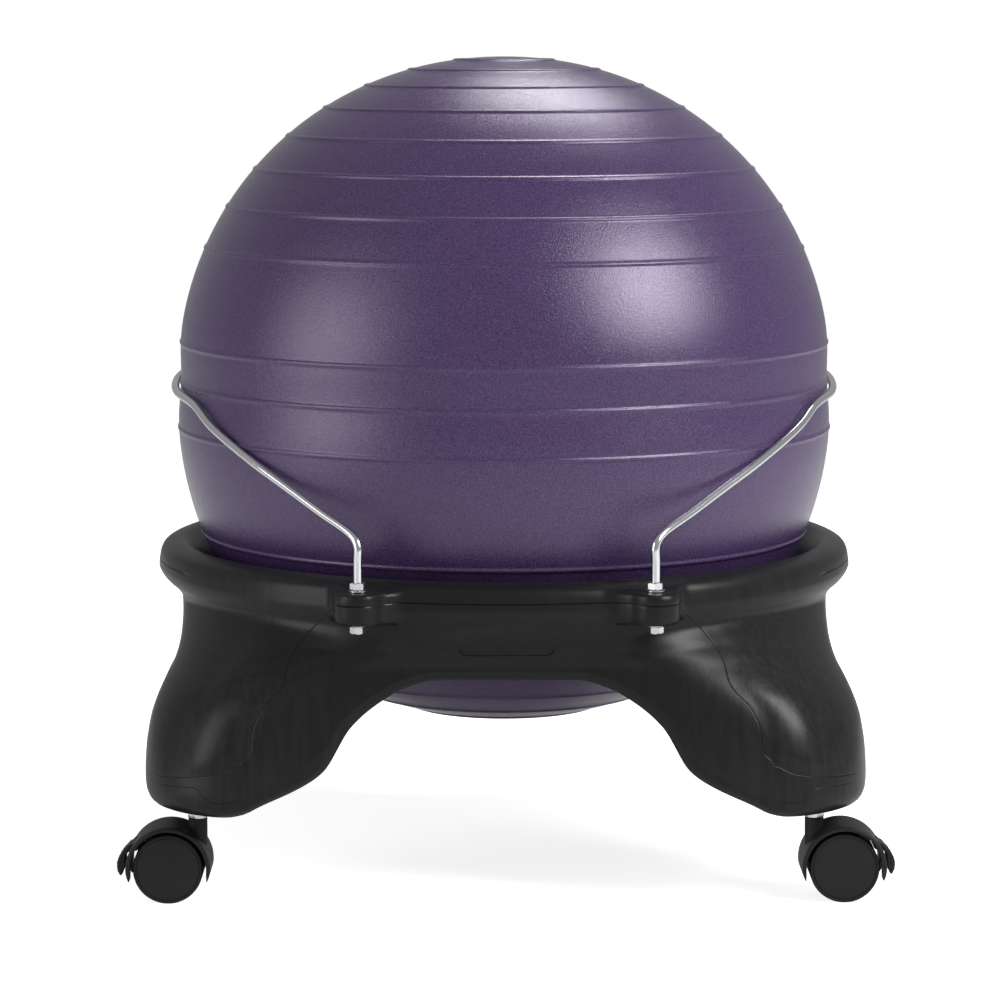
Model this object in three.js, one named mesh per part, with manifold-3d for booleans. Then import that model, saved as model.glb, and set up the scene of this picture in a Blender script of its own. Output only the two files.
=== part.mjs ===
// Balance ball chair: an inflated ball held by a steel stay in a four-legged base on castors.
// Millimetres, +Z up. The ball's axis is upright and the stay's two ends are at the front, at -Y.
import * as THREE from 'three';
import { mergeVertices } from 'three/addons/utils/BufferGeometryUtils.js';
import Module from 'manifold-3d';

const wasm = await Module();
wasm.setup();

// Clearances shared by all the pieces
const seatGap = 0.3;
const runningGap = 0.15;
const overrun = 2;
const sameSpot = 0.01;
const weldDistance = 0.0001;

// Ball
const ballRadius = 248.3;
const ballHalfHeight = 250;
const ballCentreHeight = 348;
const ballWall = 2.2;
const ballUpperPower = 2.11;
const ballLowerPower = 2.2;
const pinchDepth = 3.2;
const pinchReach = 26;
const ribHeight = 0.9;
const ribHalfWidth = 1.7;
const equatorRibAngles = [-6.4, 1.5, 8.5];
const upperRibStart = 25.5;
const lowerRibStart = -25.1;
const ribStep = 8;
const ribCount = 8;
const valveRadius = 5;
const plugHeadRadius = 7.5;
const plugHeadThickness = 1.4;
const plugLength = 16;
const plugTaper = 0.8;
const ballSides = 32;

// Base: lip and bowl, each height measured down from the lip's top
const lipBelowCentre = 113;
const lipGap = 9.4;
const lipWidth = 26;
const lipCrownDrop = 2.2;
const lipWidestDrop = 19;
const lipUnderDrop = 28;
const neckDrop = 31;
const seatTopDrop = 47;
const bowlBottomDrop = 63;
const apronBottomDrop = 71;

// Base: outer wall, legs and feet
const neckInset = 4.5;
const waistInset = 13;
const footFlare = 12;
const footCorner = 55;
const footRise = 4;
const footThickness = 22.5;
const castorPadRadius = 15;
const castorPadDrop = 0.6;
const archInset = 62.5;
const edgeRadius = 7;
const footEdgeRadius = 13;

// Base: bosses for the stay and the bare recess on the front apron
const bossTurn = 22.267;
const bossStandOff = 11.466;
const bossRadius = 17;
const bossTopDrop = 5.5;
const bossBottomDrop = 28;
const bossRootHalf = 34;
const bossRootDepth = 17;
const bossRound = 3.5;
const recessWidth = 68;
const recessHeight = 17;
const recessCorner = 6;
const recessDepth = 1.2;
const recessDrop = 44.5;

// Stay rod with its nuts and washers
const rodRadius = 3;
const rodEndDrop = 1;
const nutAcrossFlats = 10;
const nutHeight = 5;
const washerRadius = 6.5;
const washerThickness = 1.2;
const bendRise = 36.5;
const sideTouchDrop = 37;
const hoopRise = 9;

// Castors
const castorInsetX = 36.5;
const castorInsetY = 51.5;
const wheelRadius = 25;
const wheelWidth = 15.2;
const wheelFace = 1.6;
const wheelRim = 3;
const boreDepth = 11;
const axleRadius = 3;
const webThickness = 8;
const webHubRadius = 8;
const trailInset = 4.5;
const hoodGap = 2.4;
const hoodThickness = 2.8;
const hoodWidth = 43;
const hoodCheek = 1.2;
const hoodTipInset = 1.1;
const columnRadius = 6.8;
const columnRise = 12;
const swivelPinRadius = 4;
const swivelDepth = 20;
const stemRadius = 5.5;
const stemLength = 32;
const stemCollarRadius = 6.9;
const stemTip = 1.5;
const socketWall = 2.2;
const socketTopWall = 2.5;

// Castor brakes: the leaf's outline in X and Z starts at its pin
const leverWidth = 16;
const leverPinRadius = 1.2;
const leverPinGap = 3.2;
const leverPinTurn = 31.66;
const leverEyeRadius = 2.9;
const leverEyeGap = 0.6;
const earThickness = 3.2;
const gripRibHeight = 0.5;
const gripRibWidth = 1.2;
const leafOuter = [
  [4.7, 0.8], [7.1, -1.9], [9.7, -5.1], [11.8, -8.5], [12.9, -11.7], [13.2, -14.8], [12.8, -17.8], [11.9, -20.3],
];
const leafTip = [10.8, -21.6];
const leafInner = [
  [9.5, -20.7], [8.4, -18.2], [7.5, -15.3], [7.1, -12.6], [7.1, -9.6], [6.4, -6.4], [3.7, -3.6],
];

// Facet counts of round pieces
const pinSides = 8;
const smallSides = 12;
const wheelSides = 18;
const rodQuarterSides = 2;
const rodSteps = 76;
const bossCurveSteps = 6;
const cornerSteps = 3;
const hoodArcSteps = 8;
const webArcSteps = 4;

const degree = Math.PI / 180;
const mix = (a, b, share) => a + (b - a) * share;
const clamp01 = (value) => Math.min(1, Math.max(0, value));
const smooth = (value) => clamp01(value) ** 2 * (3 - 2 * clamp01(value));

// Materials, one for each kind of stuff
const moulded = new THREE.MeshStandardMaterial({ color: 0x2b2b2c, roughness: 0.5, metalness: 0 });
const ballSkin = new THREE.MeshStandardMaterial({ color: 0x5f5480, roughness: 0.45, metalness: 0 });
const plugPlastic = new THREE.MeshStandardMaterial({ color: 0x3c3550, roughness: 0.5, metalness: 0 });
const plated = new THREE.MeshStandardMaterial({ color: 0xc4c6c8, roughness: 0.25, metalness: 1 });
const wheelPlastic = new THREE.MeshStandardMaterial({ color: 0x29292a, roughness: 0.45, metalness: 0 });

// A closed three.js geometry as a solid for joining and cutting
function toSolid(geometry) {
  const bare = new THREE.BufferGeometry();
  bare.setAttribute('position', geometry.getAttribute('position').clone());
  if (geometry.index) bare.setIndex(geometry.index.clone());
  const merged = mergeVertices(bare, weldDistance);
  const corners = merged.index.array;
  const triangles = [];
  for (let i = 0; i < corners.length; i += 3) {
    const [a, b, c] = [corners[i], corners[i + 1], corners[i + 2]];
    if (a !== b && b !== c && c !== a) triangles.push(a, b, c);
  }
  return new wasm.Manifold(new wasm.Mesh({
    numProp: 3,
    vertProperties: new Float32Array(merged.getAttribute('position').array),
    triVerts: new Uint32Array(triangles),
  }));
}

// A solid back as a three.js geometry
function toGeometry(solid) {
  const mesh = solid.getMesh();
  const geometry = new THREE.BufferGeometry();
  geometry.setAttribute('position', new THREE.BufferAttribute(new Float32Array(mesh.vertProperties), 3));
  geometry.setIndex(new THREE.BufferAttribute(new Uint32Array(mesh.triVerts), 1));
  return geometry;
}

// A profile of [radius, height] points turned about the upright axis
function turned(profile, sides) {
  const points = profile.map(([radius, height]) => new THREE.Vector2(radius, height));
  return new THREE.LatheGeometry(points, sides).rotateX(Math.PI / 2);
}

// An upright round bar between two heights
function bar(radius, bottom, top, sides) {
  const height = top - bottom;
  return new THREE.CylinderGeometry(radius, radius, height, sides)
    .rotateX(Math.PI / 2)
    .translate(0, 0, bottom + height / 2);
}

// The points of a drawn outline, with those that fall on each other left out
function outlineOf(shape, curveSegments) {
  const kept = [];
  for (const point of shape.getPoints(curveSegments)) {
    const last = kept[kept.length - 1];
    if (!last || last.distanceTo(point) > sameSpot) kept.push(point);
  }
  if (kept[0].distanceTo(kept[kept.length - 1]) < sameSpot) kept.pop();
  return new THREE.Shape(kept);
}

// A side outline in X and Z, thick along Y and centred on Y = 0
function sidePlate(shape, thickness, curveSegments) {
  const outline = outlineOf(shape, curveSegments);
  return new THREE.ExtrudeGeometry(outline, { depth: thickness, bevelEnabled: false })
    .translate(0, 0, -thickness / 2)
    .rotateX(Math.PI / 2);
}

// A round bar along Y
function crossBar(radius, length, sides) {
  return bar(radius, -length / 2, length / 2, sides).rotateX(Math.PI / 2);
}

// Ball: a hollow skin whose outline is a squashed circle, drawn in where the stay holds it
function ballReach(angle) {
  const power = angle > 0 ? ballUpperPower : ballLowerPower;
  const across = Math.abs(Math.cos(angle)) / ballRadius;
  const up = Math.abs(Math.sin(angle)) / ballHalfHeight;
  const plain = (across ** power + up ** power) ** (-1 / power);
  const fromHoop = ballCentreHeight + plain * Math.sin(angle) - hoopHeight;
  return plain - pinchDepth * Math.exp(-((fromHoop / pinchReach) ** 2));
}

function ballPoint(angle, proud) {
  const reach = ballReach(angle) + proud;
  return [reach * Math.cos(angle), ballCentreHeight + reach * Math.sin(angle)];
}

// Half-width of the plain ball at a height of its lower half
function ballRadiusAt(height) {
  const up = Math.abs(height - ballCentreHeight) / ballHalfHeight;
  return ballRadius * (1 - up ** ballLowerPower) ** (1 / ballLowerPower);
}

// Heights and distances that follow from the sizes above
const lipTop = ballCentreHeight - lipBelowCentre;
const lipInnerRadius = ballRadiusAt(lipTop) + lipGap;
const lipRadius = lipInnerRadius + lipWidth;
const lipWidestHeight = lipTop - lipWidestDrop;
const lipUnderHeight = lipTop - lipUnderDrop;
const neckHeight = lipTop - neckDrop;
const seatTop = lipTop - seatTopDrop;
const bowlBottom = lipTop - bowlBottomDrop;
const apronBottom = lipTop - apronBottomDrop;
const neckRadius = lipRadius - neckInset;
const waistHalf = neckRadius - waistInset;
const footHalf = waistHalf + footFlare;
const footInnerRadius = footHalf - footThickness;
const archReach = footHalf - archInset;
const castorX = footHalf - castorInsetX;
const castorY = footHalf - castorInsetY;
const bossX = (lipRadius + bossStandOff) * Math.sin(bossTurn * degree);
const bossY = -(lipRadius + bossStandOff) * Math.cos(bossTurn * degree);
const bossTop = lipTop - bossTopDrop;
const bossBottom = lipTop - bossBottomDrop;
const recessCentreHeight = lipTop - recessDrop;
const bendHeight = bossTop + bendRise;
const sideTouchHeight = ballCentreHeight - sideTouchDrop;
const hoopHeight = ballCentreHeight + hoopRise;
const castorTrail = wheelRadius - trailInset;
const hoodInner = wheelRadius + hoodGap;
const hoodOuter = hoodInner + hoodThickness;
const hoodTipRadius = hoodOuter - hoodTipInset;
const columnTop = 2 * wheelRadius + columnRise;
const footBottom = columnTop + footRise;
const leverPivotX = (wheelRadius + leverPinGap) * Math.cos(leverPinTurn * degree);
const leverPivotZ = (wheelRadius + leverPinGap) * Math.sin(leverPinTurn * degree);

function ribAngles() {
  const angles = [...equatorRibAngles];
  for (let i = 0; i < ribCount; i += 1) {
    angles.push(upperRibStart + i * ribStep);
    angles.push(lowerRibStart - i * ribStep);
  }
  return angles.map((angle) => angle * degree).sort((a, b) => a - b);
}

function makeBall() {
  const ribHalfAngle = ribHalfWidth / ballRadius;
  const plainStep = ribStep * degree;
  const valveAngle = -Math.PI / 2 + valveRadius / ballHalfHeight;
  const outer = [ballPoint(valveAngle, 0)];
  let last = valveAngle;
  for (const angle of ribAngles()) {
    if (angle - last > plainStep + ribHalfAngle) outer.push(ballPoint((angle + last) / 2, 0));
    outer.push(ballPoint(angle - ribHalfAngle, 0));
    outer.push(ballPoint(angle, ribHeight));
    outer.push(ballPoint(angle + ribHalfAngle, 0));
    last = angle;
  }
  outer.push([0, ballCentreHeight + ballReach(Math.PI / 2)]);
  const inner = [[0, ballCentreHeight + ballReach(Math.PI / 2) - ballWall]];
  const innerStep = 12 * degree;
  for (let angle = Math.PI / 2 - innerStep; angle > valveAngle + innerStep / 2; angle -= innerStep) {
    inner.push(ballPoint(angle, -ballWall));
  }
  inner.push([valveRadius, ballPoint(valveAngle, -ballWall)[1]]);
  return turned([...outer, ...inner, outer[0]], ballSides);
}

// Valve plug: a flat head under the ball's lowest point and a tapered stem in the valve hole
function makeBallPlug() {
  const seat = ballPoint(-Math.PI / 2 + valveRadius / ballHalfHeight, 0)[1] - seatGap;
  const stem = valveRadius - seatGap;
  return turned([
    [0, seat - plugHeadThickness],
    [plugHeadRadius - plugHeadThickness / 2, seat - plugHeadThickness],
    [plugHeadRadius, seat - plugHeadThickness / 2],
    [plugHeadRadius, seat],
    [stem, seat],
    [stem - plugTaper, seat + plugLength],
    [0, seat + plugLength],
  ], smallSides);
}

// Base, seen from above: half-width and corner radius of the rounded square at a height
const underLipShare = 0.145;
function wallPlan(height) {
  const drop = clamp01((neckHeight - height) / (neckHeight - footBottom));
  const flareStartShare = 0.188;
  const flareSpanShare = 0.6;
  const flareSoftShare = 0.08;
  const flarePower = 1.8;
  const cornerSpanShare = 0.9;
  const cornerPower = 1.7;
  const waist = mix(neckRadius, waistHalf, smooth(drop / underLipShare));
  const down = clamp01((drop - flareStartShare) / flareSpanShare);
  const eased = down ** 2 * (1 + flareSoftShare) / (down + flareSoftShare);
  const half = waist + (footHalf - waistHalf) * (1 - (1 - eased) ** flarePower);
  const corner = mix(footCorner, neckRadius, clamp01(1 - drop / cornerSpanShare) ** cornerPower);
  return { half, corner };
}

// Distance from the axis to that rounded square along a direction
function planReach(direction, half, corner) {
  const across = Math.abs(Math.cos(direction));
  const along = Math.abs(Math.sin(direction));
  const flat = half - corner;
  const [long, short] = [Math.max(across, along), Math.min(across, along)];
  if (half * short <= flat * long) return half / long;
  const middle = flat * (long + short);
  return middle + Math.sqrt(Math.max(0, corner ** 2 + middle ** 2 - 2 * flat ** 2));
}

// Underside of the base: an arched tunnel runs through it both ways and leaves four feet
const archShares = [
  [0, 0], [0.26, 0], [0.375, 0.055], [0.48, 0.17], [0.577, 0.335],
  [0.682, 0.655], [0.762, 0.765], [0.92, 0.91], [1, 1],
];
const footUnderside = footBottom + castorPadDrop;
function undersideAt(x, y) {
  const share = Math.min(Math.abs(x), Math.abs(y)) / archReach;
  const next = archShares.findIndex(([reach]) => reach >= share);
  if (next < 0) return footUnderside;
  if (next === 0) return apronBottom;
  const [reachA, dropA] = archShares[next - 1];
  const [reachB, dropB] = archShares[next];
  return mix(apronBottom, footUnderside, mix(dropA, dropB, (share - reachA) / (reachB - reachA)));
}

// Inner wall of the legs: it widens downwards from the edge of the bowl
const seatSlopeShare = 1.6;
const seatClearance = seatSlopeShare * (ribHeight + seatGap);
const bowlEdgeRadius = ballRadiusAt(bowlBottom) + seatClearance;
function innerReach(height) {
  return mix(bowlEdgeRadius, footInnerRadius, (bowlBottom - height) / (bowlBottom - footBottom));
}

// The base's section in one direction, as a closed loop of [distance, height] points
const underLipShares = [0, 0.3, 0.62, 1];
const wallShares = [0.25, 0.5, 0.75, 1];
const undersideShares = [0.33, 0.67];
function baseSection(direction) {
  const reachAt = (height) => {
    const plan = wallPlan(height);
    return planReach(direction, plan.half, plan.corner);
  };
  const under = (reach) => undersideAt(reach * Math.cos(direction), reach * Math.sin(direction));
  const edgeAt = (reach) => {
    const downShare = (apronBottom - under(reach)) / (apronBottom - footBottom);
    return mix(edgeRadius, footEdgeRadius, downShare);
  };
  let outerReach = reachAt(footBottom);
  let innerEdge = footInnerRadius;
  const settleCount = 8;
  for (let i = 0; i < settleCount; i += 1) {
    outerReach = reachAt(under(outerReach) + edgeAt(outerReach));
    innerEdge = innerReach(under(innerEdge) + edgeRadius);
  }
  const loop = [];
  const outerEdge = edgeAt(outerReach);
  const wallStart = mix(neckHeight, footBottom, underLipShare);
  const wallEnd = under(outerReach) + outerEdge;
  const rows = underLipShares.map((share) => mix(neckHeight, wallStart, share));
  rows.push(...wallShares.map((share) => mix(wallStart, wallEnd, share)));
  loop.push(...rows.map((height) => [reachAt(height), height]));
  const edgeShare = 1 - Math.SQRT1_2;
  loop.push([outerReach - edgeShare * outerEdge, under(outerReach) + edgeShare * outerEdge]);
  const [from, to] = [outerReach - outerEdge, innerEdge + edgeRadius];
  loop.push([from, under(from)]);
  for (const share of undersideShares) {
    const reach = mix(from, to, share);
    loop.push([reach, under(reach)]);
  }
  loop.push([to, under(to)]);
  loop.push([innerEdge + edgeShare * edgeRadius, under(innerEdge) + edgeShare * edgeRadius]);
  const innerStart = under(innerEdge) + edgeRadius;
  loop.push([innerReach(innerStart), innerStart]);
  loop.push(...bowlSection());
  return loop;
}

// Bowl and lip, round all the way: the ball's own curve, opening out above the seat
function bowlSection() {
  const lipMiddle = (lipInnerRadius + lipRadius) / 2;
  const lipCrestShare = 0.45;
  const shoulderReachShare = 0.85;
  const shoulderDropShare = 0.4;
  const underBulgeShare = 0.5;
  const crestHalf = lipCrestShare * (lipRadius - lipInnerRadius) / 2;
  const shoulderHeight = mix(lipTop, lipWidestHeight, shoulderDropShare);
  const seatShares = [0, 0.5, 1];
  const openingShares = [0.5, 1];
  const opening = (share) => {
    const height = mix(seatTop, lipTop - ribHeight - edgeRadius, share);
    const gapAtLip = lipInnerRadius - ballRadiusAt(lipTop);
    return [ballRadiusAt(height) + mix(seatClearance, gapAtLip, share), height];
  };
  const seat = seatShares.map((share) => {
    const height = mix(bowlBottom, seatTop, share);
    return [ballRadiusAt(height) + seatClearance, height];
  });
  return [
    ...seat,
    ...openingShares.map(opening),
    [lipMiddle - crestHalf, lipTop],
    [lipMiddle + crestHalf, lipTop - lipCrownDrop],
    [mix(lipMiddle, lipRadius, shoulderReachShare), shoulderHeight],
    [lipRadius, lipWidestHeight],
    [mix(lipRadius, neckRadius, underBulgeShare), lipUnderHeight],
  ];
}

// Directions of the sections: they fall on the corners of the arch, eight times round
function sectionDirections() {
  const octant = archShares.map(([reach]) => Math.atan2(reach * archReach, waistHalf));
  const wallHalf = (octant[octant.length - 1] + Math.PI / 4) / 2;
  const startHalf = octant[1] / 2;
  const angles = [octant[0], startHalf, ...octant.slice(1), wallHalf, Math.PI / 4];
  const quarter = [...angles, ...angles.slice(1, -1).reverse().map((angle) => Math.PI / 2 - angle)];
  const directions = [];
  for (let turn = 0; turn < 4; turn += 1) {
    directions.push(...quarter.map((angle) => angle + turn * Math.PI / 2));
  }
  return directions;
}

// Skin over a ring of closed sections
function ringOfSections(directions, sectionAt) {
  const positions = [];
  const triangles = [];
  const sections = directions.map(sectionAt);
  const rows = sections[0].length;
  sections.forEach((section, column) => {
    for (const [reach, height] of section) {
      positions.push(reach * Math.cos(directions[column]), reach * Math.sin(directions[column]), height);
    }
    const next = (column + 1) % directions.length;
    for (let row = 0; row < rows; row += 1) {
      const nextRow = (row + 1) % rows;
      const a = column * rows + row;
      const b = next * rows + row;
      const c = next * rows + nextRow;
      const d = column * rows + nextRow;
      triangles.push(a, d, c, a, c, b);
    }
  });
  const geometry = new THREE.BufferGeometry();
  geometry.setAttribute('position', new THREE.Float32BufferAttribute(positions, 3));
  geometry.setIndex(triangles);
  return geometry;
}

// Boss for one end of the stay: a round nose on a root that spreads into the lip
function bossSolid(side) {
  const rootBack = bossRootDepth + 2 * bossRound;
  const shape = new THREE.Shape();
  shape.moveTo(-bossRootHalf, rootBack);
  shape.lineTo(-bossRootHalf, bossRootDepth);
  shape.quadraticCurveTo(-bossRadius, bossRootDepth / 2, -bossRadius, 0);
  shape.absarc(0, 0, bossRadius, Math.PI, 2 * Math.PI, false);
  shape.quadraticCurveTo(bossRadius, bossRootDepth / 2, bossRootHalf, bossRootDepth);
  shape.lineTo(bossRootHalf, rootBack);
  const depth = bossTop - bossBottom - 2 * bossRound;
  const geometry = new THREE.ExtrudeGeometry(outlineOf(shape, bossCurveSteps), {
    depth,
    bevelThickness: bossRound,
    bevelSize: bossRound,
    bevelOffset: -bossRound,
    bevelSegments: 2,
  });
  geometry.rotateZ(side * bossTurn * degree);
  return toSolid(geometry.translate(side * bossX, bossY, bossBottom + bossRound));
}

// Bare shallow recess in the front apron
function recessSolid() {
  const [halfWidth, halfHeight] = [recessWidth / 2, recessHeight / 2];
  const shape = new THREE.Shape();
  shape.moveTo(-halfWidth + recessCorner, -halfHeight);
  shape.absarc(halfWidth - recessCorner, -halfHeight + recessCorner, recessCorner, -Math.PI / 2, 0);
  shape.absarc(halfWidth - recessCorner, halfHeight - recessCorner, recessCorner, 0, Math.PI / 2);
  shape.absarc(-halfWidth + recessCorner, halfHeight - recessCorner, recessCorner, Math.PI / 2, Math.PI);
  shape.absarc(-halfWidth + recessCorner, -halfHeight + recessCorner, recessCorner, Math.PI, 1.5 * Math.PI);
  const depth = recessDepth + edgeRadius;
  const wallAt = (rise) => wallPlan(recessCentreHeight + rise).half;
  const tilt = Math.atan((wallAt(halfHeight) - wallAt(-halfHeight)) / recessHeight);
  return toSolid(sidePlate(shape, depth, cornerSteps)
    .translate(0, recessDepth - depth / 2, 0)
    .rotateX(tilt)
    .translate(0, -wallAt(0), recessCentreHeight));
}

const socketRadius = stemRadius + seatGap + socketWall;
const socketTop = footBottom + stemLength + seatGap + socketTopWall;
const cornerSigns = [[-1, -1], [1, -1], [-1, 1], [1, 1]];

function makeBase() {
  let solid = toSolid(ringOfSections(sectionDirections(), baseSection));
  for (const side of [-1, 1]) {
    solid = solid.add(bossSolid(side));
    const bore = bar(rodRadius + seatGap, bossBottom - overrun, bossTop + overrun, smallSides);
    solid = solid.subtract(toSolid(bore.translate(side * bossX, bossY, 0)));
  }
  for (const [signX, signY] of cornerSigns) {
    const pad = bar(castorPadRadius, footBottom, footBottom + edgeRadius, 2 * smallSides);
    solid = solid.add(toSolid(pad.translate(signX * castorX, signY * castorY, 0)));
    const bore = bar(socketRadius + seatGap, footBottom - overrun, socketTop + seatGap, smallSides);
    solid = solid.subtract(toSolid(bore.translate(signX * castorX, signY * castorY, 0)));
  }
  return toGeometry(solid.subtract(recessSolid()));
}

// Stay: a steel rod that stands in both bosses, leans out and goes round the back of the ball
const rodEndHeight = bossBottom - washerThickness - nutHeight - 2 * seatGap - rodEndDrop;
function makeStay() {
  const hugRadius = (height) => {
    const angle = Math.asin((height - ballCentreHeight) / ballRadius);
    return ballReach(angle) * Math.cos(angle) + ribHeight + seatGap + rodRadius;
  };
  const bossDistance = Math.hypot(bossX, bossY);
  const touchAngle = Math.atan2(bossY, bossX) + Math.acos(hugRadius(sideTouchHeight) / bossDistance);
  const arcShares = [0, 0.09, 0.141, 0.237, 0.327, 0.38, 0.45, 0.53, 0.61, 0.69, 0.77, 0.85, 0.93, 1];
  const riseShares = [0, 0.46, 0.72, 0.83, 0.9, 0.96, 1];
  const straightShares = [0.3, 0.6, 0.88];
  const leanShares = [0.04, 0.35, 0.7];
  const upright = [rodEndHeight, bossBottom, bossTop];
  upright.push(...straightShares.map((share) => mix(bossTop, bendHeight, share)));
  const half = upright.map((height) => new THREE.Vector3(bossX, bossY, height));
  const arcPoint = (share, rise) => {
    const angle = mix(touchAngle, Math.PI / 2, share);
    const height = mix(sideTouchHeight, hoopHeight, rise);
    const radius = hugRadius(height);
    return new THREE.Vector3(radius * Math.cos(angle), radius * Math.sin(angle), height);
  };
  const bend = new THREE.Vector3(bossX, bossY, bendHeight);
  half.push(...leanShares.map((share) => bend.clone().lerp(arcPoint(0, 0), share)));
  arcShares.forEach((share, i) => half.push(arcPoint(share, riseShares[i] ?? 1)));
  const mirrored = half.slice(0, -1).reverse().map((point) => new THREE.Vector3(-point.x, point.y, point.z));
  const path = new THREE.CatmullRomCurve3([...half, ...mirrored], false, 'centripetal');
  const circle = new THREE.Shape().absarc(0, 0, rodRadius, 0, 2 * Math.PI);
  return new THREE.ExtrudeGeometry(circle, {
    steps: rodSteps,
    extrudePath: path,
    curveSegments: 2 * rodQuarterSides,
    bevelEnabled: false,
  });
}

function makeWasher() {
  const bore = rodRadius + seatGap;
  return turned([
    [bore, 0], [washerRadius, 0], [washerRadius, washerThickness], [bore, washerThickness], [bore, 0],
  ], smallSides);
}

function makeNut() {
  const corner = nutAcrossFlats / 2 / Math.cos(Math.PI / 6);
  const flats = 6;
  const hexagon = new THREE.CylinderGeometry(corner, corner, nutHeight, flats);
  hexagon.rotateX(Math.PI / 2).translate(0, 0, nutHeight / 2);
  const bore = bar(rodRadius + seatGap, -overrun, nutHeight + overrun, smallSides);
  return toGeometry(toSolid(hexagon).subtract(toSolid(bore)));
}

// Castor pieces, made about the swivel axis with the wheels trailing towards +X
const axleHeight = wheelRadius;
const wheelInset = webThickness / 2 + seatGap;

// Wheel: a closed dished face, a rounded tread and a blind bore for the axle
function makeWheel() {
  const bore = axleRadius + runningGap;
  return turned([
    [0, boreDepth],
    [bore, boreDepth],
    [bore, 0],
    [wheelRadius - wheelRim / 2, 0],
    [wheelRadius, wheelRim / 2],
    [wheelRadius, wheelWidth - wheelRim],
    [wheelRadius - wheelRim, wheelWidth],
    [wheelRadius - 2 * wheelRim, wheelWidth - wheelFace],
    [0, wheelWidth - wheelFace / 2],
  ], wheelSides);
}

function makeAxle() {
  return crossBar(axleRadius, 2 * (wheelInset + boreDepth - seatGap), smallSides);
}

// Outline between two arcs about the axle, from one direction to another
function arcBand(inner, outer, from, to) {
  const shape = new THREE.Shape();
  shape.absarc(0, 0, outer, from, to, false);
  shape.absarc(0, 0, inner, to, from, true);
  shape.closePath();
  return shape;
}

// Lever: a leaf-shaped paddle off the hood, from an eye round its pin, with fine grip ribs outside
function makeLever() {
  const eyeStart = Math.atan2(leafOuter[0][1], leafOuter[0][0]) + Math.PI / 4;
  const shape = new THREE.Shape();
  shape.moveTo(...leafInner[leafInner.length - 1]);
  shape.lineTo(0, -leverEyeRadius);
  shape.absarc(0, 0, leverEyeRadius, 1.5 * Math.PI, eyeStart, true);
  for (const point of [...leafOuter, leafTip, ...leafInner]) shape.lineTo(...point);
  let solid = toSolid(sidePlate(shape, leverWidth, webArcSteps));
  for (const [x, z] of leafOuter.slice(2, -1)) {
    const rib = new THREE.BoxGeometry(2 * gripRibHeight, leverWidth, gripRibWidth);
    solid = solid.add(toSolid(rib.translate(x, 0, z)));
  }
  const pinBore = crossBar(leverPinRadius + runningGap, leverWidth + overrun, pinSides);
  return toGeometry(solid.subtract(toSolid(pinBore))).translate(leverPivotX, 0, leverPivotZ);
}

function makeLeverPin() {
  return crossBar(leverPinRadius, leverWidth + 2 * (seatGap + earThickness), pinSides)
    .translate(leverPivotX, 0, leverPivotZ);
}

// Outline of the hood from the side: an arc with a pointed tip at each end
function hoodOutline() {
  const tipTurn = 17 * degree;
  const outerTurn = 8 * degree;
  const innerTurn = 10.5 * degree;
  const shape = new THREE.Shape();
  shape.absarc(0, 0, hoodOuter, -outerTurn, Math.PI + outerTurn, false);
  shape.lineTo(hoodTipRadius * Math.cos(Math.PI + tipTurn), hoodTipRadius * Math.sin(Math.PI + tipTurn));
  shape.absarc(0, 0, hoodInner, Math.PI + innerTurn, -innerTurn, true);
  shape.lineTo(hoodTipRadius * Math.cos(-tipTurn), hoodTipRadius * Math.sin(-tipTurn));
  shape.closePath();
  return shape;
}

// Hood: a shell over both wheels, a web between them and the column that swivels on the stem
function makeHood() {
  const eyeRoom = Math.asin((leverEyeRadius + leverEyeGap) / (wheelRadius + leverPinGap));
  const windowTop = leverPinTurn * degree + eyeRoom;
  const windowBottom = -0.5 * Math.PI;
  let solid = toSolid(sidePlate(hoodOutline(), hoodWidth, hoodArcSteps));
  const cut = arcBand(hoodInner - overrun, hoodOuter + overrun, windowBottom, windowTop);
  solid = solid.subtract(toSolid(sidePlate(cut, leverWidth + 2 * seatGap, webArcSteps)));
  const web = new THREE.Shape();
  const columnX = -castorTrail;
  const webReach = hoodInner + hoodCheek;
  web.absarc(0, 0, webHubRadius, 1.25 * Math.PI, 0.25 * Math.PI, false);
  web.absarc(0, 0, webReach, 0.35 * Math.PI, 0.98 * Math.PI, false);
  web.closePath();
  const webSolid = toSolid(sidePlate(web, webThickness, webArcSteps));
  solid = solid.add(webSolid);
  const column = bar(columnRadius, -swivelDepth / 2, columnTop - axleHeight, smallSides);
  const room = toSolid(crossBar(wheelRadius + wheelFace, hoodWidth, wheelSides));
  solid = solid.add(toSolid(column.translate(columnX, 0, 0)).subtract(room).add(webSolid));
  for (const side of [-1, 1]) {
    const ear = crossBar(leverEyeRadius, earThickness, pinSides);
    const place = side * (leverWidth / 2 + seatGap + earThickness / 2);
    solid = solid.add(toSolid(ear.translate(leverPivotX, place, leverPivotZ)));
  }
  const pinBore = crossBar(leverPinRadius + seatGap, hoodWidth, pinSides);
  solid = solid.subtract(toSolid(pinBore.translate(leverPivotX, 0, leverPivotZ)));
  const axleBore = crossBar(axleRadius + seatGap, hoodWidth, smallSides);
  solid = solid.subtract(toSolid(axleBore));
  const boreBottom = columnTop - axleHeight - swivelDepth;
  const bore = bar(swivelPinRadius + runningGap, boreBottom, columnTop - axleHeight + overrun, smallSides);
  return toGeometry(solid.subtract(toSolid(bore.translate(columnX, 0, 0))));
}

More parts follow.
